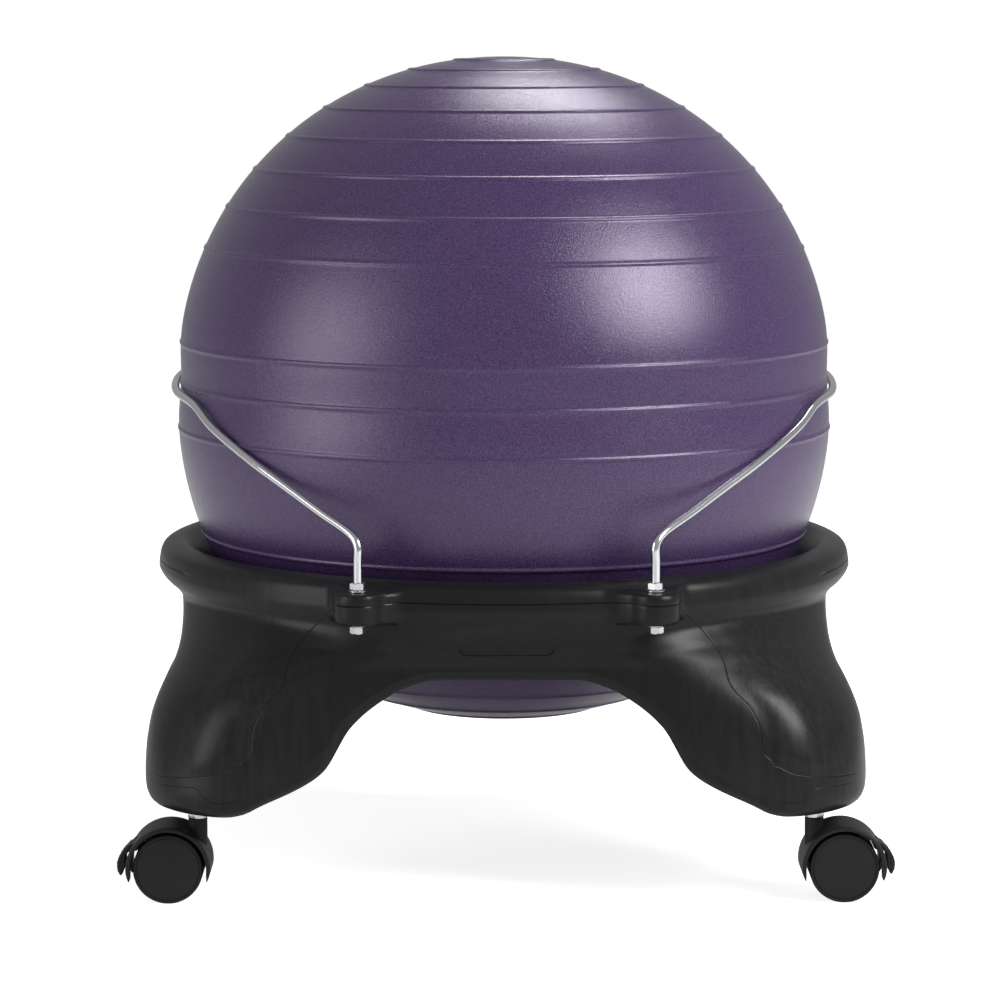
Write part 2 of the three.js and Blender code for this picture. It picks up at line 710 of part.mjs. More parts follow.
// Stem: the pin that the hood swivels on, a bright collar under the foot and the shank in it
function makeStem() {
  return turned([
    [0, columnTop - swivelDepth + seatGap],
    [swivelPinRadius, columnTop - swivelDepth + seatGap],
    [swivelPinRadius, columnTop + seatGap],
    [stemCollarRadius, columnTop + seatGap],
    [stemCollarRadius, footBottom - seatGap],
    [stemRadius, footBottom - seatGap],
    [stemRadius, footBottom + stemLength - stemTip],
    [stemRadius - stemTip, footBottom + stemLength],
    [0, footBottom + stemLength],
  ], smallSides);
}

// Socket: the plastic sleeve in the foot that grips the stem
function makeSocket() {
  const bore = stemRadius + seatGap;
  const boreTop = footBottom + stemLength + seatGap;
  return turned([
    [bore, footBottom + seatGap],
    [socketRadius, footBottom + seatGap],
    [socketRadius, socketTop],
    [0, socketTop],
    [0, boreTop],
    [bore, boreTop],
    [bore, footBottom + seatGap],
  ], smallSides);
}

// The assembly
const chair = new THREE.Group();

function place(parent, name, geometry, material, x = 0, y = 0, z = 0) {
  const mesh = new THREE.Mesh(geometry, material);
  mesh.name = name;
  mesh.position.set(x, y, z);
  parent.add(mesh);
  return mesh;
}

place(chair, 'base', makeBase(), moulded);
place(chair, 'ball', makeBall(), ballSkin);
place(chair, 'ball_plug', makeBallPlug(), plugPlastic);
place(chair, 'stay_hoop', makeStay(), plated);

// Nuts and washers above and below each boss
const fastenerHeights = {
  top_washer: bossTop + seatGap,
  top_nut: bossTop + washerThickness + 2 * seatGap,
  bottom_washer: bossBottom - seatGap - washerThickness,
  bottom_nut: bossBottom - 2 * seatGap - washerThickness - nutHeight,
};
for (const [sideName, side] of [['left', -1], ['right', 1]]) {
  for (const [kind, height] of Object.entries(fastenerHeights)) {
    const geometry = kind.endsWith('nut') ? makeNut() : makeWasher();
    place(chair, `${sideName}_${kind}`, geometry, plated, side * bossX, bossY, height);
  }
}

// Castors, each trailing outwards
const cornerNames = ['front_left', 'front_right', 'back_left', 'back_right'];
cornerSigns.forEach(([signX, signY], i) => {
  const name = cornerNames[i];
  const corner = new THREE.Group();
  corner.position.set(signX * castorX, signY * castorY, 0);
  corner.rotation.z = signX > 0 ? 0 : Math.PI;
  chair.add(corner);
  place(corner, `${name}_stem_socket`, makeSocket(), moulded);
  place(corner, `${name}_stem`, makeStem(), plated);
  place(corner, `${name}_hood`, makeHood(), wheelPlastic, castorTrail, 0, axleHeight);
  place(corner, `${name}_axle`, makeAxle(), plated, castorTrail, 0, axleHeight);
  for (const [wheelName, way] of [['wheel_a', -1], ['wheel_b', 1]]) {
    const wheel = place(corner, `${name}_${wheelName}`, makeWheel(), wheelPlastic, castorTrail, 0, axleHeight);
    wheel.position.y = way * wheelInset;
    wheel.rotation.x = -way * Math.PI / 2;
  }
  place(corner, `${name}_brake_lever`, makeLever(), wheelPlastic, castorTrail, 0, axleHeight);
  place(corner, `${name}_lever_pin`, makeLeverPin(), plated, castorTrail, 0, axleHeight);
});

// The origin lies on the floor in the middle of the chair's width and depth
const frontReach = bossRadius - bossY;
chair.position.y = (frontReach - lipRadius) / 2;

export default chair;
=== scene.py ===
"""Balance ball chair: an inflated purple ball in a black moulded base on castors."""
import math

import bmesh
import bpy
import numpy as np
from mathutils import Matrix, Vector


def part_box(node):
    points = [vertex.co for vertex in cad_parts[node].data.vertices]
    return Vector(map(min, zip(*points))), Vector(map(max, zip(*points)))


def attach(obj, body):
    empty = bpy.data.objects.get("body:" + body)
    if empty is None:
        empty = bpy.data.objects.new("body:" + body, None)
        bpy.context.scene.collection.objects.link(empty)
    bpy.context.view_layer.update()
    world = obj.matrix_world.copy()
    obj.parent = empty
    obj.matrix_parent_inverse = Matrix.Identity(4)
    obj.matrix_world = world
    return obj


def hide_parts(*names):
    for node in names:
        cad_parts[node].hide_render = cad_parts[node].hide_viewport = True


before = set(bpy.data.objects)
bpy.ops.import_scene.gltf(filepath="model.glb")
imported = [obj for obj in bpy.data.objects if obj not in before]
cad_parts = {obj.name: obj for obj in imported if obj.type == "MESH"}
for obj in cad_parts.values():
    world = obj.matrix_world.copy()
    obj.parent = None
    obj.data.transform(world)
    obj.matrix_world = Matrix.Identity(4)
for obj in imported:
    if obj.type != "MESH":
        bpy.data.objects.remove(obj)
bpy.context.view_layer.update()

# All lengths below are in millimetres. Angles are in degrees, or in radians if they are called a turn.
MM = 0.001
HALF = 0.5
WELD = 0.002
AXIS_Y = (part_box("ball")[0][1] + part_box("ball")[1][1]) / 2
AXIS_DEPTH = AXIS_Y / MM

# Camera, fitted to the photograph
CAMERA_DISTANCE = 2850
CAMERA_HEIGHT = 633.7
CAMERA_PITCH = 7.448
CAMERA_LENS = 135.34
CAMERA_ANGLE = 0.45
CAMERA_SHIFT = -0.004

# Clearances
SEAT_GAP = 0.3
BORE_GAP = 0.1
RUNNING_GAP = 0.15
OVERRUN = 2

# Ball
BALL_RADIUS = 248.3
BALL_HALF_HEIGHT = 250
BALL_CENTRE = 348
BALL_WALL = 2.2
UPPER_POWER = 2.06
LOWER_POWER = 2.2
PINCH_DEPTH = 3.2
PINCH_REACH = 26
RIB_HEIGHT = 0.9
RIB_HALF_WIDTH = 1.5
EQUATOR_RIBS = (-6.4, 8.5)
PARTING_RIB = 1.5
UPPER_RIB_START = 25.5
LOWER_RIB_START = -25.1
RIB_STEP = 8.0
RIB_COUNT = 8
VALVE_RADIUS = 5

# Base: lip and bowl
LIP_TOP = BALL_CENTRE - 113
LIP_GAP = 9.4
LIP_WIDTH = 26
LIP_WIDEST_HEIGHT = LIP_TOP - 19
SEAT_TOP = LIP_TOP - 47
BOWL_BOTTOM = LIP_TOP - 63
APRON_BOTTOM = LIP_TOP - 71
LIP_EDGE = 7.9
LIP_CROWN = 2.2
SHOULDER_REACH_SHARE = 0.85
SHOULDER_DROP_SHARE = 0.4
LIP_CREST_SHARE = 0.45
SEAT_SLOPE_SHARE = 1.6
SEAT_CLEARANCE = SEAT_SLOPE_SHARE * (RIB_HEIGHT + SEAT_GAP)


def ball_radius_at(height):
    """Half-width of the plain ball at a height of its lower half."""
    up = abs(height - BALL_CENTRE) / BALL_HALF_HEIGHT
    return BALL_RADIUS * (1 - up ** LOWER_POWER) ** (1 / LOWER_POWER)


LIP_INNER_RADIUS = ball_radius_at(LIP_TOP) + LIP_GAP
LIP_RADIUS = LIP_INNER_RADIUS + LIP_WIDTH
BOWL_EDGE_RADIUS = ball_radius_at(BOWL_BOTTOM) + SEAT_CLEARANCE

# Base: outer wall, legs and feet. Each row of the wall has its height, half-width and corner radius,
# and each row of the sides its height and half-width.
WALL_PLACES = (
    (66, 257.5, 76), (80, 257.5, 78), (93, 257.4, 82), (107, 256.8, 87), (121.3, 255.5, 92),
    (135.4, 253.6, 98), (149.5, 251, 107), (163.6, 247.6, 124), (175, 245.6, 145), (184, 245.7, 168),
    (191.5, 248.4, 194), (197.6, 252.6, 219), (204, 258.4, 245), (209, 261.6, 257.5),
    (216, LIP_RADIUS, LIP_RADIUS),
)
SIDE_HALVES = (
    (66, 259.3), (79, 260), (93, 260.4), (107, 259.9), (118, 258.6), (126.7, 257.1), (135.4, 254.5),
    (142.8, 251.6), (151.3, 247.6), (159.9, 243), (169.3, 240.2), (177.2, 239.4), (184.1, 239.8),
    (188.6, 240.5), (192.5, 241.4), (197.9, 243.3), (203.8, 250.3), (208, 257.3), (213.3, 261.9),
    (216, LIP_RADIUS),
)
WALL_TOP = 216
FLANK_END = 184
FOOT_HALF = 257.5
FOOT_BOTTOM = 66
FOOT_INNER_RADIUS = FOOT_HALF - 22.5
PAD_RADIUS = 15
FOOT_UNDERSIDE = FOOT_BOTTOM + 0.6
ARCH_REACH = FOOT_HALF - 62.5
EDGE_RADIUS = 7
FOOT_EDGE_RADIUS = 13
ARCH_SHARES = ((0, 0), (0.26, 0), (0.375, 0.055), (0.48, 0.17), (0.577, 0.335), (0.682, 0.655),
               (0.762, 0.765), (0.92, 0.91), (0.985, 0.972), (1.05, 0.997), (1.1, 1))

# Base: bosses for the stay
BOSS_TURN = math.radians(22.267)
BOSS_DISTANCE = LIP_RADIUS + 11.466
BOSS_ACROSS = BOSS_DISTANCE * math.sin(BOSS_TURN)
BOSS_OUT = BOSS_DISTANCE * math.cos(BOSS_TURN)
BOSS_TOP = LIP_TOP - 5.5
BOSS_BOTTOM = LIP_TOP - 28
BOSS_REACH = 28
BOSS_NOSE_HALF = 17.5
BOSS_NOSE_POWER = 2.3
BOSS_ROOT_SHARE = 0.45
BOSS_ROOT_START = 12
BOSS_ROOT_SPAN = 24
BOSS_BLEND = 4
BOSS_ROUND = 3.5

# Base: the bare recess on the front apron, the parting line round the lip and the folds on the legs
RECESS_HALF = 34
RECESS_BOTTOM = 182.6
RECESS_TOP = 199.4
RECESS_CORNER = 6
RECESS_DEPTH = 1.3
RECESS_FADE = 1.25
RECESS_STAND = 4
RECESS_COLUMNS = 24
RECESS_ROWS = 24
PARTING_HEIGHT = 221.5
PARTING_HALF = 0.7
PARTING_DEPTH = 0.7
PARTING_END_TURN = math.radians(25)
PARTING_FADE_TURN = math.radians(4)
FOLD_PLACES = ((96, 214), (100, 196.6), (105.7, 188.9), (115.3, 180.5), (132.2, 178), (145.3, 172),
               (162.8, 156.7), (176.7, 153.3), (194.7, 141.2), (206.7, 129.2))
FOLD_RISE = 2.4
FOLD_WIDTH = 28
FOLD_DIP = 0.7
FOLD_DIP_PLACE = 7
FOLD_DIP_WIDTH = 5
FOLD_FADE = 34
FOLD_FOOT_HEIGHT = 94
FOLD_FOOT_WIDTH = 12
FOLD_TOP_HEIGHT = 208
FOLD_TOP_WIDTH = 44

# How finely the base is divided
BASE_COLUMNS = 480
BOSS_COLUMNS = 41
LEAST_TURN = 0.002
FLANK_ROWS = 26
WALL_ROWS = 26
UNDERSIDE_ROWS = 12
INNER_ROWS = 8
SEAT_ROWS = 6
OPENING_ROWS = 6
CREST_ROWS = 25
PARTING_ABOVE_ROWS = 22
PARTING_BELOW_ROWS = 28
SETTLE_COUNT = 12
ROUNDING_TURNS = [math.radians(a) for a in (15, 30, 45, 60, 75)]

# Base: lines that the mould leaves on each leg, as width across and height. Their near-black colour is
# painted shade, as in a crease.
LEG_LINE = ((105.7, 188.9), (115.3, 180.5), (132.2, 178), (145.3, 172), (162.8, 156.7), (176.7, 153.3),
            (194.7, 141.2), (206.7, 129.2), (219.5, 119.7))
FOOT_LINE = ((187, 106), (189, 105.7), (202, 99.5), (215.8, 96.6), (235, 94), (250.6, 92.7))
TOE_LINE = ((190.8, 80.5), (204, 78.7), (212.4, 82.3), (216, 85.3), (218.4, 88.3), (230, 88), (245.6, 87.3))
MOULD_LINE_STOPS = 30
MOULD_LINE_WIDTH = 0.45
MOULD_LINE_REACH = 150

# Stay rod with its nuts and washers
ROD_RADIUS = 3
ROD_TIP_CHAMFER = 0.6
NUT_FLATS = 10
NUT_HEIGHT = 5
NUT_CHAMFER_SLOPE = 0.6
NUT_FACE_SHARE = 0.96
NUT_EDGE = 0.25
NUT_BORE_CHAMFER = 0.3
WASHER_RADIUS = 6.5
WASHER_THICKNESS = 1.2
WASHER_EDGE = 0.2
BEND_HEIGHT = BOSS_TOP + 36.5
SIDE_TOUCH_HEIGHT = BALL_CENTRE - 37
HOOP_HEIGHT = BALL_CENTRE + 9
ROD_END_HEIGHT = BOSS_BOTTOM - WASHER_THICKNESS - NUT_HEIGHT - 2 * SEAT_GAP
ARC_SHARES = (0, 0.09, 0.141, 0.237, 0.327, 0.38, 0.45, 0.53, 0.61, 0.69, 0.77, 0.85, 0.93, 1)
RISE_SHARES = (0, 0.46, 0.72, 0.83, 0.9, 0.96, 1)
STRAIGHT_SHARES = (0.3, 0.6, 0.88)
LEAN_SHARES = (0.04, 0.35, 0.7)
ROD_TIP_SHARES = (0, 0.2, 0.4)
NUT_ANGLES = {"left_top_nut": 12, "left_bottom_nut": 3, "right_top_nut": 20, "right_bottom_nut": -6}

# Castors
CASTOR_X = FOOT_HALF - 36.5
CASTOR_Y = FOOT_HALF - 51.5
CASTOR_TRAIL = 20.5
WHEEL_RADIUS = 25
WHEEL_WIDTH = 15.2
WHEEL_FACE = 1.6
WHEEL_RIM = 1.6
INNER_RIM = 1.5
FACE_RADIUS = 22.4
FACE_GROOVE = 0.7
FACE_DISH = 0.4
FACE_CROWN = 0.5
BORE_DEPTH = 11
AXLE_RADIUS = 3
WEB_THICKNESS = 8
WEB_HUB = 8
WEB_HUB_TURNS = (1.25 * math.pi, 2.25 * math.pi)
WEB_RIM_TURNS = (0.35 * math.pi, 0.98 * math.pi)
HOOD_INNER = 27.4
HOOD_OUTER = 30.2
HOOD_WIDTH = 43
HOOD_CHEEK = 1.2
HOOD_EDGE = 1.3
HOOD_TIP_RADIUS = 29.4
HOOD_TIP_THICKNESS = 0.7
HOOD_TIP_TURN = math.radians(17)
HOOD_TAPER_TURN = math.radians(14)
COLUMN_RADIUS = 6.8
COLUMN_EDGE = 0.5
COLUMN_TOP = 58.8
COLUMN_FOOT = WHEEL_RADIUS + 12
SWIVEL_PIN = 4
BORE_TURN = math.radians(2)
SWIVEL_DEPTH = 14
STEM_RADIUS = 5.5
STEM_LENGTH = 32
STEM_TIP = 1.5
COLLAR_RADIUS = 6.9
COLLAR_EDGE = 0.4
SOCKET_RADIUS = STEM_RADIUS + SEAT_GAP + 2.2
SOCKET_TOP = FOOT_BOTTOM + STEM_LENGTH + SEAT_GAP + 2.5
CORNERS = (("front_left", -1, -1), ("front_right", 1, -1), ("back_left", -1, 1), ("back_right", 1, 1))

# Castor brake levers
LEVER_WIDTH = 16
LEVER_PIN = 1.2
LEVER_PIVOT = (24, 14.8)
LEVER_EYE = 2.9
LEVER_EYE_GAP = 0.6
EYE_START_TURN = 1.5 * math.pi
EYE_OVERLAP_TURN = 0.25 * math.pi
EAR_THICKNESS = 3.2
LEAF_EDGE = 0.8
LEAF_OUTER = ((28.7, 15.6), (31.1, 12.9), (33.7, 9.7), (35.8, 6.3), (36.9, 3.1), (37.2, 0), (36.8, -3),
              (35.9, -5.5))
LEAF_TIP = (34.8, -6.8)
LEAF_INNER = ((33.5, -5.9), (32.4, -3.4), (31.5, -0.5), (31.1, 2.2), (31.1, 5.2), (30.4, 8.4), (27.7, 11.2))
LEAF_STEPS = 64
GRIP_TEETH = 9
GRIP_START = 0.1
GRIP_END = 0.44
GRIP_TURN = 2.4
TOOTH = 0.6

# How finely round pieces are divided
BALL_COLUMNS = 160
RIB_ROW_SHARES = (-2.2, -1.5, -1.1, -0.75, 0, 0.75, 1.1, 1.5, 2.2)
PLAIN_ROW_STEP = 1.6
FINE_SIDES = 64
MEDIUM_SIDES = 32
WHEEL_SIDES = 96
NUT_SIDES = 72
ROD_SIDES = 20
ROD_STEPS_PER_SPAN = 8
ROUND_STEPS = 7
CORNER_STEPS = 4
HOOD_STEPS = 96
HOOD_ACROSS = 9
HOOD_EDGE_TURNS = [math.radians(a) for a in (0, 22, 45, 68)]
WEB_STEPS = 24
FACE_SHARES = (0.97, 0.9, 0.75, 0.5, 0.25, 0)

# Angles between faces over which an edge is drawn sharp
SHARP_EDGE = 35
SHARP_ROD_EDGE = 50
SHARP_FASTENER_EDGE = 25
SHARP_HOOD_EDGE = 32
SHARP_LEVER_EDGE = 30

# Finishes: colours are linear, scales are repeats per metre and detail is the layers of a noise
COARSE_DETAIL = 2.0
MEDIUM_DETAIL = 3.0
FINE_DETAIL = 4.0
NOISE_ROUGHNESS = 0.5
STIPPLE_NOISE_ROUGHNESS = 0.6
DRAG_NOISE_ROUGHNESS = 0.62
SKIN_PLAIN = (0.036, 0.015, 0.068, 1)
SKIN_DEEP = (0.027, 0.011, 0.052, 1)
SKIN_FLECK = (0.16, 0.11, 0.25, 1)
SKIN_STIPPLE_SCALE = 950
SKIN_GRAIN_SCALE = 1600
SKIN_CLOUD_SCALE = 9
SKIN_FLECK_CONTRAST = 3.0
SKIN_FLECK_SHARE = 0.42
SKIN_BUMP = 0.3
SKIN_BUMP_STRENGTH = 0.8
SKIN_SPECULAR = 0.68
SKIN_TINT = (0.92, 0.84, 1, 1)
SKIN_ROUGHNESS = 0.1
SKIN_GLOSS_SPREAD = 0.06
MOULDED_DARK = (0.0095, 0.0095, 0.0097, 1)
MOULDED_LIGHT = (0.0225, 0.0225, 0.0235, 1)
MOULDED_ROUGHNESS = 0.26
MOULDED_SPECULAR = 0.2
# Near-black colour of the mould lines: painted shade in the creases along them
MOULD_LINE_SHADE_COLOUR = (0.003, 0.003, 0.003, 1)
LINE_BUMP_SHARE = 2.0
MOULDED_GLOSS_SPREAD = 0.12
MARK_ROUGHNESS = 0.1
MOULDED_BUMP = 0.2
MOULDED_BUMP_STRENGTH = 0.5
DRAG_LINE_STRETCH = (1, 1, 0.05)
DRAG_LINE_SCALE = 220
DRAG_STREAK_STRETCH = (1, 1, 0.2)
DRAG_STREAK_SCALE = 30
DRAG_CONTRAST = 3.0
DRAG_BUMP_SHARE = 1.2
PANEL_DRAG_SHARE = 0.35
PANEL_HALF = 110
PANEL_FADE = 60
PIT_BUMP_SHARE = 0.3
PATCH_SCALE = 14
PLAIN_PATCH_SCALE = 42
PIT_SCALE = 700
PLAIN_GLOSS_SPREAD = 0.08
PLAIN_BUMP = 0.05
PLAIN_BUMP_STRENGTH = 0.3
PLATE_BRIGHT = (0.72, 0.73, 0.74, 1)
PLATE_DULL = (0.42, 0.42, 0.41, 1)
PLATE_LINE_SCALE = 900
PLATE_SPOT_SCALE = 160
PLATE_SPOT_LEVEL = 0.62
PLATE_SPOT_CONTRAST = 6.0
PLATE_GLOSS_SPREAD = 0.06
PLATE_DULL_ROUGHNESS = 0.15
PLATE_BUMP = 0.03
PLATE_BUMP_STRENGTH = 0.2
CASTOR_DARK = (0.012, 0.012, 0.012, 1)
CASTOR_LIGHT = (0.018, 0.018, 0.018, 1)
WHEEL_DARK = (0.013, 0.013, 0.013, 1)
WHEEL_LIGHT = (0.019, 0.019, 0.019, 1)
PLUG_DARK = (0.05, 0.04, 0.09, 1)
PLUG_LIGHT = (0.07, 0.06, 0.12, 1)

# Each plated finish has its name, roughness and the stretch of its drawing lines
PLATES = {
    "rod": ("zinc_rod", 0.12, (1, 1, 1)),
    "fastener": ("zinc_fastener", 0.2, (1, 1, 1)),
    "stem": ("zinc_stem", 0.22, (1, 1, 0.1)),
}

# Each plain plastic has its name, two colours, roughness and the scale of its grain
PLASTICS = {
    "castor": ("castor_nylon", CASTOR_DARK, CASTOR_LIGHT, 0.42, 2600),
    "lever": ("lever_nylon", CASTOR_DARK, CASTOR_LIGHT, 0.46, 2200),
    "wheel": ("wheel_nylon", WHEEL_DARK, WHEEL_LIGHT, 0.4, 3200),
    "socket": ("socket_black", CASTOR_DARK, CASTOR_LIGHT, 0.5, 2400),
    "plug": ("plug_violet", PLUG_DARK, PLUG_LIGHT, 0.4, 2000),
}

# Studio, in metres and watts. Each lamp has its name, place, width, height and power.
WHITE = (1, 1, 1)
FLOOR_SIZE = 30
FLOOR_COLOUR = (0.8, 0.8, 0.8)
FLOOR_ROUGHNESS = 0.9
FLOOR_GLOW = 0.81
WORLD_COLOUR = (0.9, 0.92, 0.95)
WORLD_STRENGTH = 0.26
MIRRORED_SHARE = 0.13
LAMPS = (
    ("right_softbox", (2.0, -1.35, 1.85), 1.05, 1.35, 74),
    ("left_softbox", (-2.4, -1.2, 0.9), 1.4, 1.8, 28),
    ("top_softbox", (0.35, 1.2, 2.3), 0.9, 0.6, 21),
)
LAMP_AIM = (0, 0, 0.35)


# Node trees

class Value:
    """A socket in a node tree. Python's operators on it add Math nodes to the tree."""

    def __init__(self, tree, socket):
        self.tree = tree
        self.socket = socket

    def __neg__(self):
        return self * -1

    def clamp(self):
        return self.most(0).least(1)


def math_method(operation, swapped=False):
    """A method that adds one Math node for a value and what stands beside it."""
    def method(self, *others):
        terms = (*others, self) if swapped else (self, *others)
        return self.tree.add("ShaderNodeMath", {"operation": operation}, *terms)

    return method


MATH_METHODS = {
    "__add__": "ADD", "__radd__": "ADD", "__sub__": "SUBTRACT", "__mul__": "MULTIPLY", "__rmul__": "MULTIPLY",
    "__truediv__": "DIVIDE", "__pow__": "POWER", "__gt__": "GREATER_THAN", "__lt__": "LESS_THAN",
    "sin": "SINE", "cos": "COSINE", "abs": "ABSOLUTE", "exp": "EXPONENT",
    "least": "MINIMUM", "most": "MAXIMUM",
}
for method_name, operation in MATH_METHODS.items():
    setattr(Value, method_name, math_method(operation))
for method_name, operation in (("__rsub__", "SUBTRACT"), ("__rtruediv__", "DIVIDE")):
    setattr(Value, method_name, math_method(operation, swapped=True))


class Tree:
    """A node tree with one method that adds any node and links or sets its sockets."""

    def __init__(self, node_tree):
        self.node_tree = node_tree

    def add(self, kind, settings=None, *values, out=0, **named):
        node = self.node_tree.nodes.new(kind)
        for name, setting in (settings or {}).items():
            if name == "stops":
                self.set_stops(node.color_ramp, setting)
            else:
                setattr(node, name, setting)
        targets = list(enumerate(values)) + [(name.replace("_", " "), value) for name, value in named.items()]
        for key, value in targets:
            socket = node.inputs[key] if isinstance(key, int) else self.socket_named(node, key)
            if isinstance(value, Value):
                self.node_tree.links.new(value.socket, socket)
            else:
                socket.default_value = value
        return Value(self, node.outputs[out])

    @staticmethod
    def socket_named(node, name):
        for socket in node.inputs:
            if socket.name.lower() == name.lower() and socket.enabled:
                return socket
        raise KeyError(f"{node.bl_idname} has no input {name}")

    @staticmethod
    def set_stops(ramp, stops):
        while len(ramp.elements) < len(stops):
            ramp.elements.new(1.0)
        for element, (position, colour) in zip(ramp.elements, stops):
            element.position = position
            element.color = (*colour, 1.0)

    def noise(self, vector, scale, detail=COARSE_DETAIL, roughness=NOISE_ROUGHNESS):
        return self.add("ShaderNodeTexNoise", None, Vector=vector, Scale=scale, Detail=detail,
                        Roughness=roughness)

    def stretched(self, vector, scale):
        """The vector with each axis scaled, to draw a pattern out along one of them."""
        return self.add("ShaderNodeVectorMath", {"operation": "MULTIPLY"}, vector, scale)

    def mix_colour(self, factor, first, second):
        return self.add("ShaderNodeMix", {"data_type": "RGBA"}, factor, out=2, A=first, B=second)

    def bump(self, height, distance, strength):
        return self.add("ShaderNodeBump", None, Strength=strength, Distance=distance, Height=height)


# Meshes: shapes are worked out in millimetres and turned to metres as each piece is made

def solid(name, vertices, faces):
    """A piece in metres, welded along its seams, with its faces pointing outwards."""
    mesh = bpy.data.meshes.new(name)
    mesh.from_pydata([tuple(float(c) * MM for c in vertex) for vertex in vertices], [], faces)
    return object_of(name, cleaned(mesh))


def cleaned(mesh):
    shape = bmesh.new()
    shape.from_mesh(mesh)
    bmesh.ops.remove_doubles(shape, verts=shape.verts, dist=WELD * MM)
    bmesh.ops.dissolve_degenerate(shape, dist=WELD * MM, edges=shape.edges)
    bmesh.ops.recalc_face_normals(shape, faces=shape.faces)
    shape.to_mesh(mesh)
    shape.free()
    return mesh


def loft(rings, loop=True, round_again=False):
    """Vertices and faces of a skin over rows of points. The rows close on themselves with
    loop, and the last row meets the first with round_again."""
    rings = [[tuple(point) for point in ring] for ring in rings]
    across = len(rings[0])
    vertices = [point for ring in rings for point in ring]
    faces = []
    for row in range(len(rings) if round_again else len(rings) - 1):
        next_row = (row + 1) % len(rings)
        for column in range(across if loop else across - 1):
            next_column = (column + 1) % across
            faces.append((row * across + column, row * across + next_column,
                          next_row * across + next_column, next_row * across + column))
    return vertices, faces


def capped(rings):
    """A skin over closed rings with a flat cap at each end."""
    vertices, faces = loft(rings)
    across = len(rings[0])
    faces.append(tuple(range(across)))
    faces.append(tuple(len(vertices) - 1 - i for i in range(across)))
    return vertices, faces


def full_turn(sides):
    return np.linspace(0, 2 * math.pi, sides, endpoint=False)


def in_direction(section, angle):
    """A section of distance and height points, stood up in a direction from the upright axis."""
    return [(r * math.cos(angle), r * math.sin(angle), z) for r, z in section]


def turned(profile, sides=FINE_SIDES, loop=False):
    """A profile of radius and height points turned about the upright axis."""
    return loft([in_direction(profile, angle) for angle in full_turn(sides)], loop, round_again=True)


def cylinder(radius, bottom, top, sides=MEDIUM_SIDES):
    return turned([(0, bottom), (radius, bottom), (radius, top), (0, top)], sides)


def rounded_profile(points, radius):
    """An open profile with its inner corners rounded."""
    result = [points[0]]
    for before, corner, after in zip(points, points[1:], points[2:]):
        corner = np.array(corner, float)
        to_before = np.array(before, float) - corner
        to_after = np.array(after, float) - corner
        reach = min(radius, np.linalg.norm(to_before) * HALF, np.linalg.norm(to_after) * HALF)
        start = corner + to_before / np.linalg.norm(to_before) * reach
        end = corner + to_after / np.linalg.norm(to_after) * reach
        for share in np.linspace(0, 1, CORNER_STEPS):
            left = 1 - share
            result.append(tuple(left ** 2 * start + 2 * share * left * corner + share ** 2 * end))
    return result + [points[-1]]


def swept(path, radius_at):
    """A round bar along a path of points, with flat ends and a radius that a function gives."""
    path = [Vector(point) for point in path]
    tangents = []
    for i in range(len(path)):
        tangents.append((path[min(i + 1, len(path) - 1)] - path[max(i - 1, 0)]).normalized())
    side = tangents[0].orthogonal().normalized()
    rings = []
    for point, tangent in zip(path, tangents):
        side = (side - tangent * side.dot(tangent)).normalized()
        other = tangent.cross(side)
        radius = radius_at(point)
        rings.append([point + (side * math.cos(angle) + other * math.sin(angle)) * radius
                      for angle in full_turn(ROD_SIDES)])
    return capped(rings)


def moved(vertices, place=(0, 0, 0), turn=None):
    """Vertices turned by a matrix and then moved, in millimetres."""
    turn = turn or Matrix.Identity(3)
    return [turn @ Vector(vertex) + Vector(place) for vertex in vertices]


def joined(*parts):
    """Several sets of vertices and faces as one."""
    vertices, faces = [], []
    for part_vertices, part_faces in parts:
        start = len(vertices)
        vertices += list(part_vertices)
        faces += [tuple(start + i for i in face) for face in part_faces]
    return vertices, faces


def object_of(name, data):
    piece = bpy.data.objects.new(name, data)
    bpy.context.scene.collection.objects.link(piece)
    return piece


def shaded(piece, sharp_degrees=SHARP_EDGE):
    mesh = piece.data
    mesh.polygons.foreach_set("use_smooth", [True] * len(mesh.polygons))
    mesh.set_sharp_from_angle(angle=math.radians(sharp_degrees))
    return piece


def evaluated(piece):
    """The piece as a plain mesh, with its modifiers worked out and removed."""
    depsgraph = bpy.context.evaluated_depsgraph_get()
    mesh = bpy.data.meshes.new_from_object(piece.evaluated_get(depsgraph))
    piece.modifiers.clear()
    piece.data = mesh
    return piece


def combined(piece, tool, operation):
    """Joins the piece with a tool, or cuts it, and removes the tool."""
    step = piece.modifiers.new(operation, "BOOLEAN")
    step.operation = operation
    step.solver = "EXACT"
    step.object = tool
    evaluated(piece)
    bpy.data.objects.remove(tool)
    return piece


def hand_over(piece, body, slot_name, material, *replaced):
    """Gives a finished piece its material and its body, and hides the nodes it stands for; the slot name is
    not used.
    """
    piece.data.materials.clear()
    piece.data.materials.append(material)
    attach(piece, body)
    if replaced:
        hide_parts(*replaced)
    return piece


def clamp01(value):
    return min(1.0, max(0.0, value))


def smooth(value):
    value = clamp01(value)
    return value * value * (3 - 2 * value)


def mix(first, second, share):
    return first + (second - first) * share


def curve_through(points):
    """A smooth function through points of share and value that never overshoots them."""
    xs, ys = (np.array(column, float) for column in zip(*points))
    slopes = np.diff(ys) / np.diff(xs)
    tangents = np.zeros(len(xs))
    for i in range(1, len(xs) - 1):
        if slopes[i - 1] * slopes[i] > 0:
            tangents[i] = 2 * slopes[i - 1] * slopes[i] / (slopes[i - 1] + slopes[i])
    tangents[-1] = slopes[-1]

    def value_at(x):
        i = int(np.clip(np.searchsorted(xs, x) - 1, 0, len(xs) - 2))
        span = xs[i + 1] - xs[i]
        t = clamp01((x - xs[i]) / span)
        rise = (1 + 2 * t) * (1 - t) ** 2 * ys[i] + t * t * (3 - 2 * t) * ys[i + 1]
        return rise + span * (t * (1 - t) ** 2 * tangents[i] - t * t * (1 - t) * tangents[i + 1])

    return value_at


# Ball

